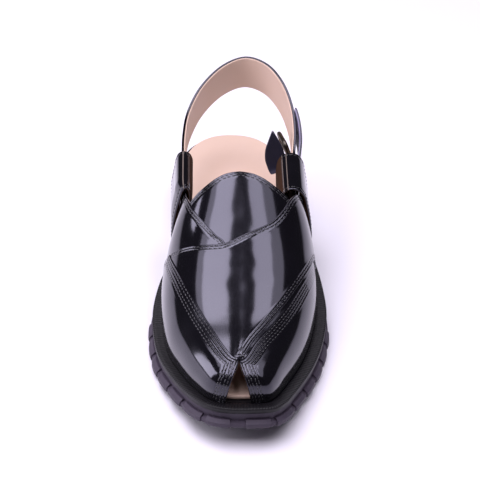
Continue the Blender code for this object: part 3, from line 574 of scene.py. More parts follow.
def quads(rows, columns, start=0, wrap=False):
    """Faces of a grid of points, closed round its columns if wrap is set."""
    i, j = np.meshgrid(np.arange(rows - 1), np.arange(columns if wrap else columns - 1), indexing="ij")
    k = (j + 1) % columns
    q = [i * columns + j, i * columns + k, (i + 1) * columns + k, (i + 1) * columns + j]
    return np.stack(q, -1).reshape(-1, 4) + start


def slab(name, outer, inner, mats, across=None, **more):
    """A closed skin from an outer and an inner grid of points; materials outer, inner, rim.

    across holds the outer face's material for each column, where it has more than one.
    """
    rows, columns = outer.shape[:2]
    n = rows * columns
    faces = [quads(rows, columns), quads(rows, columns, n)[:, ::-1]]
    rim = [(0, j) for j in range(columns)] + [(i, columns - 1) for i in range(1, rows)]
    rim += [(rows - 1, j) for j in range(columns - 2, -1, -1)] + [(i, 0) for i in range(rows - 2, 0, -1)]
    rim = np.array([i * columns + j for i, j in rim])
    ahead = np.roll(rim, -1)
    faces.append(np.stack([rim, ahead, n + ahead, n + rim], -1))
    tags = np.concatenate([np.full(len(f), k) for k, f in enumerate(faces)])
    if across is not None:
        tags[:len(faces[0])] = np.tile(across, rows - 1)
    points = np.concatenate([outer.reshape(-1, 3), inner.reshape(-1, 3)])
    return add(name, points, np.concatenate(faces), mats, np.minimum(tags, len(mats) - 1), **more)


def column_lengths(grid):
    """Distance from the first row down each column of a grid of points."""
    steps = np.linalg.norm(np.diff(grid, axis=0), axis=2)
    return np.concatenate([np.zeros((1, grid.shape[1])), np.cumsum(steps, 0)])


def edge_distance(grid, edges):
    """How far each point of a grid is from the named edges, along the grid's lines."""
    down = column_lengths(grid)
    across = column_lengths(grid.swapaxes(0, 1)).T
    ways = {"front": down, "back": down[-1] - down, "left": across, "right": across[:, -1:] - across}
    return np.min([np.ones(grid.shape[:2])] + [ways[edge] for edge in edges], axis=0)


def rounding(far, radius):
    """How much a face sinks toward an edge that is rounded to a radius."""
    d = np.minimum(far, radius)
    return radius - np.sqrt(np.maximum(radius**2 - (radius - d) ** 2, 0))


def respace(places, axis, start, end, step):
    """A patch with lines at set distances from both ends of one axis, and a step between.

    Where the patch is short, the set distances shrink so that both ends keep their lines.
    """
    if axis:
        return respace(places.swapaxes(0, 1), 0, start, end, step).swapaxes(0, 1)
    base = sample(LAST_GRID, places)
    length = column_lengths(base)
    total = length[-1]
    start, end = np.array(start, float), np.array(end, float)
    count = max(3, int(np.ceil((total.max() - start[-1] - end[-1]) / step)))
    out = []
    for j in range(base.shape[1]):
        room = total[j]
        squeeze = min(1, 0.42 * room / max(start[-1], end[-1], 1e-9))
        a, b = start * squeeze, room - end[::-1] * squeeze
        s = np.concatenate([a, np.linspace(a[-1], b[0], count + 1)[1:-1], b])
        out.append(np.stack([np.interp(s, length[:, j], places[:, j, c]) for c in (0, 1)], 1))
    return np.stack(out, 1)


def groove(base, rows):
    """How far a sewn surface sinks at its seams and swells a millimetre beside them."""
    if not rows:
        return np.zeros(base.shape[:2])
    spots = np.concatenate([sample(LAST_GRID, r) for r in rows])
    tree = kdtree.KDTree(len(spots))
    for i, p in enumerate(spots):
        tree.insert(p, i)
    tree.balance()
    d = np.array([tree.find(p)[2] for p in base.reshape(-1, 3)]).reshape(base.shape[:2]) / MM
    return (-0.26 * np.exp(-(d / 0.55) ** 2) + 0.10 * np.exp(-((d - 1.0) / 0.6) ** 2)) * MM


def ripple(base):
    """The slight waviness of leather pulled over a last."""
    x, y = base[..., 0] / MM, base[..., 1] / MM
    return (0.035 * np.sin(x / 6.3 + 1.7 * np.sin(y / 19)) * np.sin(y / 11.0 + 0.8)
            + 0.012 * np.sin(x / 3.1 + y / 4.7)) * MM


# the leather's main creases: from x, y and to x, y, half width and depth, in mm
CREASES = [
    (-22, 106, 16, 99, 4.2, 0.10), (-9, 83, 25, 91, 4.6, 0.09), (-25, 127, 3, 134, 4.0, 0.08),
    (5, 125, 27, 116, 3.6, 0.08), (-13, 61, 11, 66, 4.2, 0.06), (-18, 152, 12, 149, 4.0, 0.06),
]


def creases(base):
    """Soft troughs, each with a low ridge on either side, that fade out at their ends."""
    x, y = base[..., 0] / MM, base[..., 1] / MM
    height = np.zeros(base.shape[:2])
    for x0, y0, x1, y1, half, depth in CREASES:
        length = np.hypot(x1 - x0, y1 - y0)
        along = ((x - x0) * (x1 - x0) + (y - y0) * (y1 - y0)) / length**2
        off = ((y - y0) * (x1 - x0) - (x - x0) * (y1 - y0)) / length / half
        height -= depth * (1 - off**2) * np.exp(-off**2 / 2) * np.exp(-((along - 0.5) / 0.42) ** 4)
    return height * MM


def sheet(name, places, low, high, edges, mats=None, rows=(), wave=1.0, **more):
    """A leather panel on the last between two offsets, its open edges rounded, its seams sunk."""
    base = sample(LAST_GRID, places)
    far = edge_distance(base, edges)
    uneven = wave * (ripple(base) + creases(base)) * np.clip(far / WAVE_FADE, 0, 1)
    height = high - rounding(far, EDGE_RADIUS) + groove(base, rows) + uneven
    outer = surface(places, height)
    inner = surface(places, np.full(places.shape[:2], low))
    return slab(name, outer, inner, mats or [BLACK, SUEDE, CUT_EDGE_PAINTED_HIGHLIGHT], **more)


def on_panel(row, offset):
    """A seam's path and directions at a panel's outer face."""
    return surface(row, np.full(len(row), offset)), normals_at(row)


# a dark plug painting the shade inside a needle hole: its radius and height over the leather, ring by ring,
# in mm
SHADE_PLUG_RINGS = [(0.44, -0.34), (0.50, -0.20), (0.26, -0.10)]


def stitches(name, rows):
    """Sewn thread: one bead for each stitch, its ends sunk into needle holes, each a dark plug that paints
    the hole's shade.
    """
    # a bead: places along it, its middle's height over the leather, and its half thickness
    u = np.array([-1, -0.75, -0.38, 0, 0.38, 0.75, 1])
    lift = np.array([-0.34, -0.06, 0.05, 0.08, 0.05, -0.06, -0.34]) * MM
    thick = np.array([0.14, 0.28, 0.33, 0.34, 0.33, 0.28, 0.14]) * MM
    turn = np.arange(6)[:, None] * np.pi / 3
    points, faces, tags = [], [], []

    def tube(rings, tag):
        """A closed run of six-sided rings in one material."""
        start = 6 * len(points)
        end = start + 6 * (len(rings) - 1)
        points.extend(rings)
        sides = quads(len(rings), 6, start, True).tolist()
        faces.extend(sides + [[start + i for i in range(5, -1, -1)], [end + i for i in range(6)]])
        tags.extend([tag] * (len(sides) + 2))

    for path, normal in rows:
        s = walk(path)
        count = int(round(s[-1] / STITCH_PITCH))
        if count < 1:
            continue
        step = s[-1] / count
        tangent = unit(np.gradient(path, axis=0))

        def at(where):
            """Point, outward and forward directions at distances along the row."""
            p, n, t = [np.stack([np.interp(where, s, v[:, c]) for c in range(3)], -1)
                       for v in (path, normal, tangent)]
            return p, unit(n), unit(t)

        for k in range(count):
            mid, n, t = at((k + 0.5) * step + u * 0.40 * step)
            side = np.cross(t, n)
            mid = mid + n * lift[:, None] + side * (u * 0.14 * MM)[:, None]
            tube([mid[i] + side[i] * np.cos(turn) * thick[i] + n[i] * np.sin(turn) * thick[i] * 0.85
                  for i in range(len(u))], 0)
            # a dark plug at the stitch's end, painting the shade inside its needle hole
            p, n, t = [v[0] for v in at([k * step])]
            across = np.cross(t, n) * np.cos(turn) + t * np.sin(turn)
            tube([p + across * r * MM + n * h * MM for r, h in SHADE_PLUG_RINGS], 1)
    return add(name, points, faces, [THREAD, HOLE_SHADE], tags)


def sewn_sheet(name, places, low, high, edges, rows):
    """A panel with its rows of stitches."""
    sheet(name, places, low, high, edges, rows=rows)
    stitches(name + "_stitches", [on_panel(r, high - STITCH_SUNK) for r in rows])


def ladder_solid(name, rings, mats, tags=None, **more):
    """A solid from rings given as (lateral half, medial half) point lists, lowest first."""
    n = len(rings[0][0])
    size = 2 * n - 2
    points = np.concatenate([np.concatenate([lateral, medial[1:-1][::-1]]) for lateral, medial in rings])
    faces = quads(len(rings), size, 0, True).tolist()
    marks = list(np.repeat(tags if tags is not None else np.zeros(len(rings) - 1, int), size))
    for r in (0, len(rings) - 1):
        o = r * size

        def med(i):
            """The medial half's point opposite a lateral one."""
            return o if i == 0 else (o + n - 1 if i == n - 1 else o + size - i)
        for i in range(n - 1):
            quad = [o + i, o + i + 1, med(i + 1), med(i)]
            faces.append([v for k, v in enumerate(quad) if v not in quad[:k]])
            marks.append(marks[0] if r == 0 else marks[-1])
    return add(name, points, faces, mats, marks, **more)


def ring(outward, height, n=61):
    """Both halves of the outline moved outward, at a height that is a function of y."""
    out = []
    for side, outline in zip((1, -1), half_outlines(n)):
        p = moved(outline, side, outward(outline[:, 1], side) if callable(outward) else np.full(n, outward))
        p[0, 0] = p[-1, 0] = 0
        out.append(np.column_stack([p, height(p[:, 1], outline)]))
    out[1][0] = out[0][0]
    out[1][-1] = out[0][-1]
    return out


# the upper


def opening(girths):
    """The toe opening's edge at girths of either side."""
    return linear(OPENING_EDGE, np.abs(girths), 1, 0)


def back(girths):
    """The upper's back edge at girths of either side."""
    return smooth(BODY_BACK, np.abs(girths))


def strip(girths, front, rear, rows):
    """Places between a front and a rear edge, both given by girth."""
    t = np.linspace(0, 1, rows)[:, None]
    return np.stack([front + (rear - front) * t, np.broadcast_to(girths, (rows, len(girths)))], -1)


def steps(*extra):
    """Lines across a rounded edge, then at distances in mm from it."""
    return list(EDGE_STEPS) + [x * MM for x in extra]


def seams(edge, distances, inside):
    """Seams beside an edge, at distances in mm, toward a place inside the panel."""
    return [inset(edge, d * MM, inside) for d in distances]


def toe_seams(arm, mouth, inside, arm_distances):
    """Seams beside a toe panel's two edges, each ending where it meets its fellow."""
    pairs = [(a * MM, m * MM) for a, m in zip(arm_distances, TOE_ROWS)]
    return ([clear_of(inset(arm, a, inside), mouth, m) for a, m in pairs]
            + [clear_of(inset(mouth, m, inside), arm, a) for a, m in pairs])


TOE_ROWS = (1.7, 3.5, 5.8, 7.6)
UNDER_ARM_ROWS = (3.4, 5.2, 7.0, 8.8)
SEAM_STEPS = (1.3, 1.7, 2.1, 2.6, 3.1, 3.5, 3.9, 4.6, 5.4, 5.8, 6.2, 6.9, 7.2, 7.6, 8.0, 8.8)
MIDLINE_CLEAR = 0.012
WELT_GIRTH = 0.995

girths = np.linspace(-1, 1, 161)
lining = respace(strip(girths, opening(girths), back(girths), 121), 0,
                 [0, 0.3 * MM], [0, 0.3 * MM, 1 * MM], 2.5 * MM)
sheet("upper_lining", lining, 0.0, LINING, [], [SUEDE, SUEDE, SUEDE], wave=0,
      slot="insole_lining", nodes=["upper"])

top = np.linspace(-0.5, 0.5, 161)
tongue_rows = seams(np.stack([back(top), top], -1), (1.6, 3.1), (0.6, 0.0))
tongue = strip(girths, 0.50, back(girths), 81)
tongue = respace(tongue, 0, [0], steps(1.6, 2.2, 2.7, 3.1, 3.5, 4.1), 1.6 * MM)
sewn_sheet("tongue", tongue, LINING, BASE_WALL, ["back"], tongue_rows)

medial_arm = line_through(MEDIAL_ARM, 161)
lateral_arm = line_through(LATERAL_ARM, 161)
medial_mouth = line_through([(a, -g) for a, g in OPENING_EDGE], 81)
lateral_mouth = line_through(OPENING_EDGE, 81)

# lateral toe panel, under the vamp's edge
lateral_rows = toe_seams(lateral_arm, lateral_mouth, (0.25, 0.75), UNDER_ARM_ROWS)
lateral_rows = [r[r[:, 1] > MIDLINE_CLEAR] for r in lateral_rows]
g = np.linspace(0.0, WELT_GIRTH, 121)
under = np.minimum(LATERAL_ARM[-1][0], linear(LATERAL_ARM, g, 1, 0) + 0.05)
panel = respace(strip(g, opening(g), under, 121), 0, steps(*SEAM_STEPS), [0], 0.9 * MM)
panel = respace(panel, 1, [0], [0], 0.8 * MM)
sewn_sheet("toe_panel_lateral", panel, LINING, BASE_WALL, ["front"], lateral_rows)

# vamp with the lateral wing
corner = [(0.03, 0.0)] + [(a, g - 0.03) for a, g in MEDIAL_ARM[1:-1]] + [(0.590, -0.59)]
low_edge = np.vstack([line_through(corner, 61)[::-1], line_through([(0.03, 0.0)] + LATERAL_ARM[1:], 81)[1:]])
full = line_through(VAMP_BACK, 401)
stops = np.interp(np.arange(len(low_edge)), [0, 60, len(low_edge) - 1], [0, 0.36, 1.0])
back_edge = np.stack([np.interp(stops, np.linspace(0, 1, 401), full[:, c]) for c in (0, 1)], 1)
t = np.linspace(0, 1, 101)[:, None, None]
vamp = (1 - t) * low_edge[None] + t * back_edge[None]
vamp_rows = seams(line_through(VAMP_BACK[:10], 161), (1.6, 3.3), (0.4, 0.0))
vamp_rows += [clear_of(row, medial_arm, 1.5 * MM) for row in seams(lateral_arm, (1.6, 3.3), (0.4, 0.1))]
wide = steps(1.3, 1.6, 1.9, 2.4, 2.9, 3.3, 3.7, 4.4)
vamp = respace(vamp, 0, wide, wide, 1.2 * MM)
vamp = respace(vamp, 1, [0], [0], 0.9 * MM)
sewn_sheet("vamp", vamp, BASE_WALL - 0.2 * MM, VAMP_OUTER, ["front", "back"], vamp_rows)

# medial toe panel, over the vamp's other side
panel_back = line_through(TOE_PANEL_BACK, 101)
medial_rows = toe_seams(medial_arm, medial_mouth, (0.25, -0.75), TOE_ROWS)
medial_rows += [clear_of(row, medial_arm, 9 * MM) for row in seams(panel_back, (1.7, 3.4), (0.3, -0.8))]
medial_rows = [r[r[:, 1] < -MIDLINE_CLEAR] for r in medial_rows]
panel_front = line_through([(a, -g) for a, g in OPENING_EDGE][::-1], 101)
panel_front[0, 1] = -WELT_GIRTH
panel_side = line_through([(a, -WELT_GIRTH) for a in (OPENING_EDGE[-1][0], 0.40, TOE_PANEL_BACK[0][0])], 161)
panel = coons(panel_front, panel_back, panel_side, medial_arm)
panel = respace(panel, 0, steps(*SEAM_STEPS), steps(*SEAM_STEPS[:6]), 1.2 * MM)
panel = respace(panel, 1, [0], steps(*SEAM_STEPS), 1.2 * MM)
sewn_sheet("toe_panel_medial", panel, LINING, TOE_PANEL_OUTER, ["front", "back", "right"], medial_rows)

# medial wing
wing_top = line_through(WING_TOP, 101)
wing_low = line_through([(0.66, -0.82), (0.73, -0.825), (0.812, -0.83)], 101)
wing_front = line_through([(0.66, -0.82), (0.605, -0.72), (0.56, -0.50), (0.54, -0.25), (0.535, -0.09)], 101)
wing_back = line_through([(0.812, -0.83), (0.812, -0.66), (0.812, -0.50)], 101)
wing_rows = seams(wing_top, (1.6, 3.1), (0.66, -0.5)) + seams(wing_back, (2.0,), (0.66, -0.6))
wing = coons(wing_front, wing_back, wing_low, wing_top)
wing = respace(wing, 0, [0], steps(1.6, 2.0, 2.5, 3.2), 1.2 * MM)
wing = respace(wing, 1, steps(), steps(1.3, 1.6, 1.9, 2.4, 2.8, 3.1, 3.5, 4.2), 1.2 * MM)
sewn_sheet("wing_medial", wing, LINING, WING_OUTER, ["left", "right", "back"], wing_rows)


# the two strap loops


# columns go over a loop from its outer foot; the stitched ones, and where the lining's swell lies
LOOP_COLUMNS = 181
STITCHED = slice(4, 118)
SWELL_COLUMN = 52
SWELL_COLUMNS = 26


def loop_skin(section):
    """A loop's centre line, outward directions and top, from a section in mm."""
    flat = np.array(section) * MM
    flat[:, 1] *= (LOOP_TOP - top_line(LOOP_FRONT) - GAP) / LOOP_SECTION
    middle = resample(catmull(flat, False, 16), LOOP_COLUMNS)
    tangent = unit(np.gradient(middle, axis=0))
    normal = np.stack([tangent[:, 1], -tangent[:, 0]], 1)
    return middle, normal, (middle + normal * LOOP_WALL / 2)[:, 1].max()


def loop(node, side, section, front, lining_from, lines):
    """A strip folded over into a tunnel: black leather outside, brown lining within and beside the foot.

    front is the section at the front end. The lining starts inward of lining_from, and pale cut
    edges run along the inner side at lines, all in mm from the shoe's middle.
    """
    skins = [loop_skin(section), loop_skin(front)]
    seam_steps = np.array([0.5, 1.2, 1.6, 2.0, 2.8]) * MM
    y = np.concatenate([LOOP_FRONT + EDGE_STEPS, LOOP_FRONT + EDGE_STEPS[-1] + seam_steps,
                        np.linspace(LOOP_FRONT + 5 * MM, LOOP_BACK - 5 * MM, 18),
                        LOOP_BACK - EDGE_STEPS[-1] - seam_steps[::-1], LOOP_BACK - EDGE_STEPS[::-1]])
    y = np.unique(np.round(y, 8))

    def skin(offset, y):
        """Points at an offset outside the loop's centre line, at distances from the toe."""
        base = (top_line(y) + GAP)[:, None]
        near = np.clip((y - LOOP_FRONT) / LOOP_PINCH, 0, 1)[:, None, None]
        flat = 0
        for (middle, normal, top), part in zip(skins, (near, 1 - near)):
            flat = flat + (middle[None] + normal[None] * offset[..., None]) / (1, top) * part
        share = (y - LOOP_FRONT) / (LOOP_BACK - LOOP_FRONT)
        shift = linear(LOOP_SWAY, share, 0, 1 if side < 0 else 2) * LOOP_SWAY_MOST
        x = flat[..., 0] + shift[:, None] * np.clip(1 - flat[..., 1] * LOOP_SWAY_FADE, 0.1, 1)
        z = base + np.maximum(flat[..., 1], 0) * (LOOP_TOP - base)
        return np.stack([side * x, np.broadcast_to(y[:, None], x.shape), z], -1)

    far = np.minimum(y - y[0], y[-1] - y)[:, None] * np.ones((1, LOOP_COLUMNS))
    sunk = np.minimum(np.abs(far - LOOP_SEAM), 1 * MM) / MM
    outer = LOOP_WALL / 2 - rounding(far, EDGE_RADIUS) - 0.22 * MM * np.exp(-(sunk / 0.5) ** 2)
    x = skins[0][0][:, 0]
    inward = np.arange(LOOP_COLUMNS) > LOOP_COLUMNS // 2
    across = np.where((x < lining_from * MM) & inward, 1, 0)
    for at in lines:
        across[int(np.argmin(np.abs(x - at * MM) + (~inward) * 1.0))] = 3
    outer = outer + np.where(across == 3, 0.12, 0) * MM
    slab(node + "_leather", skin(outer, y), skin(np.full_like(far, -0.05 * MM), y),
         [BLACK, DARK_SUEDE, CUT_EDGE_PAINTED_HIGHLIGHT, TRIM], across=across[:-1], nodes=[node])

    # the lining swells inward round the strap's end, and the front of the tunnel stays open
    y2 = np.linspace(LOOP_FRONT + 0.5 * MM, LOOP_BACK - 0.5 * MM, 24)
    flat = np.ones((len(y2), LOOP_COLUMNS))
    swell = LINING_SWELL * np.clip((y2 - LINING_SWELL_START) / LINING_SWELL_BUILD, 0, 1)[:, None]
    swell = swell * np.exp(-((np.arange(LOOP_COLUMNS) - SWELL_COLUMN) / SWELL_COLUMNS) ** 4)
    slab(node + "_lining", skin(flat * -0.12 * MM, y2), skin(flat * -LOOP_WALL / 2 - swell, y2),
         [DARK_SUEDE], slot="insole_lining")

    runs = []
    for at in (y[0] + LOOP_SEAM, y[-1] - LOOP_SEAM):
        line = skin(np.full((2, LOOP_COLUMNS), LOOP_WALL / 2 - STITCH_SUNK), np.array([at, at + 1 * MM]))
        out = unit(np.cross(np.gradient(line[0], axis=0), line[1] - line[0])) * side
        runs.append((line[0][STITCHED], out[STITCHED]))
    stitches(node + "_stitches", runs)


loop("loop_medial", -1, LOOP_MEDIAL, LOOP_MEDIAL_FRONT, 32.8, (36.6,))
loop("loop_lateral", 1, LOOP_LATERAL, LOOP_LATERAL, 31.6, (32.2, 34.6))


# the heel strap and its doubled end


def band(name, line, tops, height, low, high, mats, **more):
    """An upright band beside a plan line, between two offsets on its inner side."""
    tangent = unit(np.gradient(line, axis=0))
    normal = np.column_stack([tangent[:, 1], -tangent[:, 0], np.zeros(len(line))])
    drop = np.concatenate([EDGE_STEPS, np.linspace(0, height, 14)[1:-1], height - EDGE_STEPS[::-1]])
    drop = np.unique(np.round(drop, 8))
    middle = np.zeros((len(line), len(drop), 3))
    middle[..., :2] = line[:, None]
    middle[..., 2] = tops[:, None] - drop[None]
    far = edge_distance(middle, ["front", "back", "left", "right"])
    soft = rounding(far, min(BAND_RADIUS, (high - low) / 2))
    outer = middle + normal[:, None] * (low + soft)[..., None]
    inner = middle + normal[:, None] * (high - soft)[..., None]
    return slab(name, outer, inner, mats, **more)


path = [(STRAP_MIDDLE + a * STRAP_HALF, STRAP_START + b * STRAP_REACH, z * MM) for a, b, z in STRAP_LINE]
path = resample(catmull(path, False, 24), 260)
half = STRAP_THICK / 2
band("heel_strap_leather", path[:, :2], path[:, 2], STRAP_BAND, -half, 0.4 * MM, [BLACK, BLACK, BLACK],
     slot="strap_leather", nodes=["heel_strap"])


def facing(name, part, thick, mat, slot):
    """A layer on the strap's inner side, set in a little from its edges."""
    band(name, part[:, :2], part[:, 2] - FACING_SET_IN, STRAP_BAND - 2 * FACING_SET_IN, 0.35 * MM, thick,
         [mat, mat, mat], slot=slot)


# black ends inside the loops, doubled where the loops' mouths would show a gap
ends = int(np.argmax(path[:, 1] > LOOP_BACK - 8 * MM))
doubled = int(np.argmax(path[:, 1] > 186 * MM))
for name, part, thick in (("medial", path[:ends], half), ("lateral", path[-ends:], half),
                          ("medial_fold", path[:doubled], 3.9 * MM),
                          ("lateral_fold", path[-doubled:], 7.0 * MM)):
    facing("heel_strap_end_" + name, part, thick, BLACK, "strap_leather")
facing("heel_strap_lining", path[ends:-ends], half, BEIGE, "insole_lining")

# the doubled end along the strap's outer side: black leather, one face painted lilac as a painted reflection
# of the floor
whole = resample(path, 401)[::-1]
leaf = resample(whole[:int(400 * LEAF_REACH) + 1], 90)
share = np.linspace(0, 1, 90)
tangent = unit(np.gradient(leaf[:, :2], axis=0))
away = (STRAP_THICK + LEAF_THICK) / 2 + GAP + smooth(LEAF_LINE, share, 1) * LEAF_BULGE
line = leaf[:, :2] + np.stack([tangent[:, 1], -tangent[:, 0]], 1) * away[:, None]
band("strap_fold_leather", line, leaf[:, 2] - smooth(LEAF_LINE, share, 2) * STRAP_BAND, LEAF_BAND,
     -LEAF_THICK / 2, LEAF_THICK / 2, [LILAC_PAINTED_REFLECTION, BLACK, BLACK], slot="strap_leather", nodes=["strap_fold"])

# the pointed billet; its half width counts three times here, so that rows gather where it changes
rows = resample(catmull([(*r[:4], r[4] * 3) for r in BILLET], False, 12), 70)
centres = rows[:, :3] * MM
outer, inner = [], []
for i, row in enumerate(rows):
    ahead = unit(centres[min(i + 1, len(rows) - 1)] - centres[max(i - 1, 0)])
    inboard = np.array([-1.0, 0, 0])
    inboard = unit(inboard - ahead * ahead.dot(inboard))
    turn = np.radians(row[3])
    wide = np.array([0, 0, 1.0]) * np.cos(turn) + inboard * np.sin(turn)
    wide = unit(wide - ahead * ahead.dot(wide))
    face = unit(np.cross(ahead, wide))
    reach = row[4] / 3 * MM
    across = np.array([-1, -0.97, -0.9, -0.7, -0.35, 0, 0.35, 0.7, 0.9, 0.97, 1]) * reach
    soft = rounding(reach - np.abs(across), EDGE_RADIUS)
    outer.append(centres[i] + wide * across[:, None] + face * (BILLET_THICK / 2 - soft)[:, None])
    inner.append(centres[i] + wide * across[:, None] - face * (BILLET_THICK / 2 - soft)[:, None])
slab("billet_leather", np.array(outer), np.array(inner), [FLESH, BLACK, CUT_EDGE_PAINTED_HIGHLIGHT],
     slot="strap_leather", nodes=["billet"])

# the buckle
BUCKLE_HALF = Vector((8.6, 5.2, 0)) * MM
BUCKLE_PLACE = Matrix.Translation(Vector((33.15, 223.0, 78.7)) * MM) @ Matrix(
    ((-0.2425, -0.332, 0.9157, 0), (0.964, 0.022, 0.2642, 0), (-0.1079, 0.943, 0.3028, 0), (0, 0, 0, 1)))


def wire(name, path, radius, closed, node, sides=16):
    """A round bar along a path in the buckle's own plane; radius is one value or one a point."""
    path = np.array(path, float)
    n = len(path)
    radius = np.broadcast_to(radius, (n,))
    points = []
    for i in range(n):
        after, before = ((i + 1) % n, (i - 1) % n) if closed else (min(i + 1, n - 1), max(i - 1, 0))
        ahead = unit(path[after] - path[before])
        up = np.array([0, 0, 1.0])
        out = unit(np.cross(ahead, up))
        for j in range(sides):
            a = 2 * np.pi * j / sides
            p = path[i] + out * radius[i] * np.cos(a) + up * radius[i] * np.sin(a)
            points.append(BUCKLE_PLACE @ Vector(p))
    faces = quads(n, sides, 0, True).tolist()
    if closed:
        last = (n - 1) * sides
        faces += [[last + j, last + (j + 1) % sides, (j + 1) % sides, j] for j in range(sides)]
    else:
        faces += [list(range(sides)), list(range((n - 1) * sides, n * sides))]
    return add(name, points, faces, [METAL], slot="buckle_metal", nodes=[node])


line = []
for sx, sy, start in ((1, 1, 0), (-1, 1, 90), (-1, -1, 180), (1, -1, 270)):
    for step in range(9):
        a = np.radians(start + 11.25 * step)
        line.append((sx * (BUCKLE_HALF.x - BUCKLE_CORNER) + BUCKLE_CORNER * np.cos(a),
                     sy * (BUCKLE_HALF.y - BUCKLE_CORNER) + BUCKLE_CORNER * np.sin(a), 0))
wire("buckle_frame_metal", line, BUCKLE_WIRE, True, "buckle_frame")
reach = BUCKLE_HALF.y - BUCKLE_WIRE - 0.35 * MM
prong = [(0, -reach, 0), (0, -reach * 0.4, 0.9 * MM), (0, reach * 0.3, 1.2 * MM), (0, reach, 0.3 * MM)]
wire("buckle_prong_metal", catmull(prong, False, 8), PRONG_RADIUS, False, "buckle_prong")


# the insole, the welt and the outsole


def insole_edge(extra):
    """The insole's edge moved inward by some more."""
    return lambda y, side: -(smooth(INSOLE_LINE, y / SOLE_LENGTH) * MM + extra)


def raised(height):
    """A height above the insole's underside."""
    return lambda y, outline: top_line(y) + GAP + height


# inward from the insole's edge and up from its underside, in mm
INSOLE_SIDE = [(0.3, 0), (0, 0.8), (0, 1.8), (0.2, 2.5), (0.6, 2.95), (1.2, 3.15), (2.2, 3.2),
               (6, 3.0), (12, 2.9)]
ladder_solid("insole_cover", [ring(insole_edge(x * MM), raised(z * MM), 161) for x, z in INSOLE_SIDE],
             [BEIGE], slot="insole_lining", nodes=["insole"])


def rim(share):
    """A line on the welt's top, a share of the way from its outer edge to the upper."""
    return lambda y, side: -smooth(RIM_LINE, y / SOLE_LENGTH, 1 if side < 0 else 2) * MM * share - 0.2 * MM


def ribbed(height, depth):
    """A height from the sole's top in mm, with ribs along the welt of a depth in mm."""
    def at(y, outline):
        """The height at distances from the toe, along one half of the outline."""
        wave = 0.5 + 0.5 * np.cos(2 * np.pi * walk(outline) / RIB_PITCH)
        return top_line(y) + height * MM - depth * MM * wave ** 0.6
    return at


RIB_PITCH = 2 * MM
WELT_POINTS = 1301
FOOT = -MIDSOLE_THICK / MM
# outward from the edge, or a share of the rim inward, then the height and the ribs' depth in mm
WELT_SIDE = [(-4, FOOT, 0), (-0.9, FOOT, 0), (-0.1, FOOT + 0.7, 0), (0, -1.9, 0), (0, -1.1, 0.1),
             (-0.35, -0.45, 0.3), (-1, 0, 0.45)]
WELT_TOP = [(0.3, 0, 0.5), (0.6, 0, 0.5), (0.72, 0, 0.3), (0.8, -0.35, 0), (0.9, 0, 0), (1.2, 0, 0)]
welt = [ring(x * MM, ribbed(z, depth), WELT_POINTS) for x, z, depth in WELT_SIDE]
welt += [ring(rim(share), ribbed(z, depth), WELT_POINTS) for share, z, depth in WELT_TOP]
# a polished strip next to the upper, between the last rings but one
strips = [0] * 10 + [1, 0]
ladder_solid("welt", welt, [WELT, BLACK], strips, slot="welt_rubber", nodes=["midsole"])

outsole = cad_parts["outsole"]
outsole.data.materials.clear()
outsole.data.materials.append(RUBBER)

# lugs standing out round the outsole's foot: from and to along each side, in mm from the toe
LUGS = [(5.0, 21.0), (25.0, 44.0), (48.0, 64.0), (68.0, 83.0), (87.0, 102.0), (106.0, 121.0), (125.0, 138.0),
        (236.0, 251.0), (255.0, 270.0), (274.0, 289.0), (293.0, 308.0), (312.0, 326.0)]
# a lug's section: outward from the sole's edge in mm, and share of the outsole's height
LUG_SIDE = [(-3.0, 0.02), (2.2, 0.02), (2.7, 0.10), (2.5, 0.34), (0.2, 0.56), (-3.0, 0.56)]
# how much a lug's outer side draws in along its length
LUG_PINCH = np.array([0.5, 0.1, 0, 0, 0, 0.1, 0.5]) * MM
across = len(LUG_PINCH)
points, faces = [], []
for side, outline in zip((1, -1), half_outlines(1201)):
    s = walk(outline)
    for start, stop in LUGS:
        at = np.linspace(start, stop, across) * MM
        o = len(points)
        for outward, rise in LUG_SIDE:
            for k in range(across):
                shell = moved(outline, side, np.full(1201, outward * MM - LUG_PINCH[k] * (outward > 0)))
                x, y = np.interp(at[k], s, shell[:, 0]), np.interp(at[k], s, shell[:, 1])
                low, high = bottom_line(y), top_line(y) - MIDSOLE_THICK
                points.append((x, y, low + (high - low) * rise))
        top = o + (len(LUG_SIDE) - 1) * across
        faces += quads(len(LUG_SIDE), across, o).tolist()
        faces += [[top + k, top + k + 1, o + k + 1, o + k] for k in range(across - 1)]
        faces += [list(range(o, top + 1, across)), list(range(top + across - 1, o, -across))]
lugs = add("outsole_lugs", points, faces, [RUBBER], slot="outsole_rubber")
lugs.data.polygons.foreach_set("use_smooth", [False] * len(lugs.data.polygons))

# floor, light and camera
FLOOR_HALF = 4
floor_mat = bpy.data.materials.new("floor")
floor_mat.use_nodes = True
floor_shader = floor_mat.node_tree.nodes["Principled BSDF"]
floor_shader.inputs["Base Color"].default_value = (0.80, 0.78, 0.83, 1)
floor_shader.inputs["Roughness"].default_value = 0.6
mesh = bpy.data.meshes.new("floor")
corners = [(x * FLOOR_HALF, y * FLOOR_HALF, 0) for x, y in ((-1, -1), (1, -1), (1, 1), (-1, 1))]
mesh.from_pydata(corners, [], [(0, 1, 2, 3)])
mesh.materials.append(floor_mat)
floor = bpy.data.objects.new("floor", mesh)
bpy.context.scene.collection.objects.link(floor)

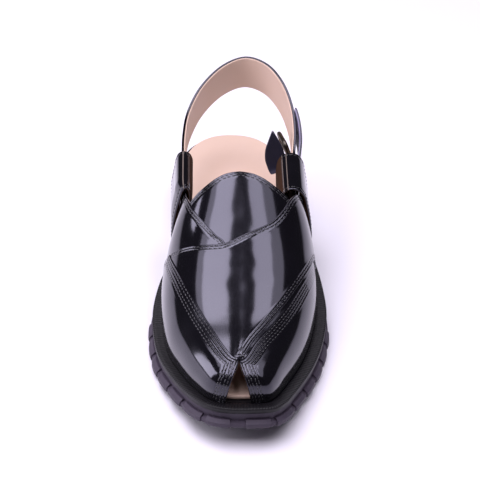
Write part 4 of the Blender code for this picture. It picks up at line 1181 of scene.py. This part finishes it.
world = bpy.data.worlds.new("studio")
bpy.context.scene.world = world
world.use_nodes = True
world.node_tree.nodes["Background"].inputs["Color"].default_value = (0.93, 0.91, 1.0, 1)
world.node_tree.nodes["Background"].inputs["Strength"].default_value = 0.04


def softbox(name, place, aim, width, height, power):
    """A rectangular studio light that looks at a point."""
    light = bpy.data.lights.new(name, "AREA")
    light.shape = "RECTANGLE"
    light.size = width
    light.size_y = height
    light.energy = power
    light.color = (0.93, 0.885, 1)
    item = bpy.data.objects.new(name, light)
    item.location = place
    item.rotation_euler = (Vector(aim) - Vector(place)).to_track_quat("-Z", "Y").to_euler()
    bpy.context.scene.collection.objects.link(item)


# four long boxes overhead, looking straight down: name, x, width, power
for name, x, width, power in (("left", -0.385, 0.69, 22), ("left_far", -0.90, 0.34, 4.5),
                              ("right", 0.375, 0.45, 11), ("right_far", 0.85, 0.50, 4.5)):
    softbox("softbox_" + name, (x, -0.10, 1.3), (x, -0.0999, 0), width, 1.5, power)
softbox("softbox_side", (-1.0, -0.03, 0.38), (0, -0.03, 0.3), 0.50, 0.60, 6)

bpy.context.scene.view_settings.view_transform = "Standard"

# the photo's camera, turned without being moved so that the one shoe is in the picture's middle;
# pixels are those of the photo
EYE = Vector((-0.0474, -1.3162, 1.0842))
AIM = Vector((-0.0774, 0.0046, 0.040))
PICTURE = 480
FOCAL_PIXELS = 2476.3
SHOE_MIDDLE = (354, 232)
SENSOR = 36
ahead = (AIM - EYE).normalized()
right = ahead.cross(Vector((0, 0, 1))).normalized()
up = right.cross(ahead)
turned = (ahead + right * (SHOE_MIDDLE[0] - PICTURE / 2) / FOCAL_PIXELS
          + up * (PICTURE / 2 - SHOE_MIDDLE[1]) / FOCAL_PIXELS).normalized()
side = turned.cross(up).normalized()
level = side.cross(turned)
camera = bpy.data.objects.new("camera", bpy.data.cameras.new("camera"))
camera.location = EYE
camera.rotation_euler = Matrix((side, level, -turned)).transposed().to_euler()
camera.data.sensor_width = SENSOR
camera.data.lens = SENSOR * FOCAL_PIXELS / PICTURE
camera.data.clip_end = 20
bpy.context.scene.collection.objects.link(camera)
bpy.context.scene.camera = camera
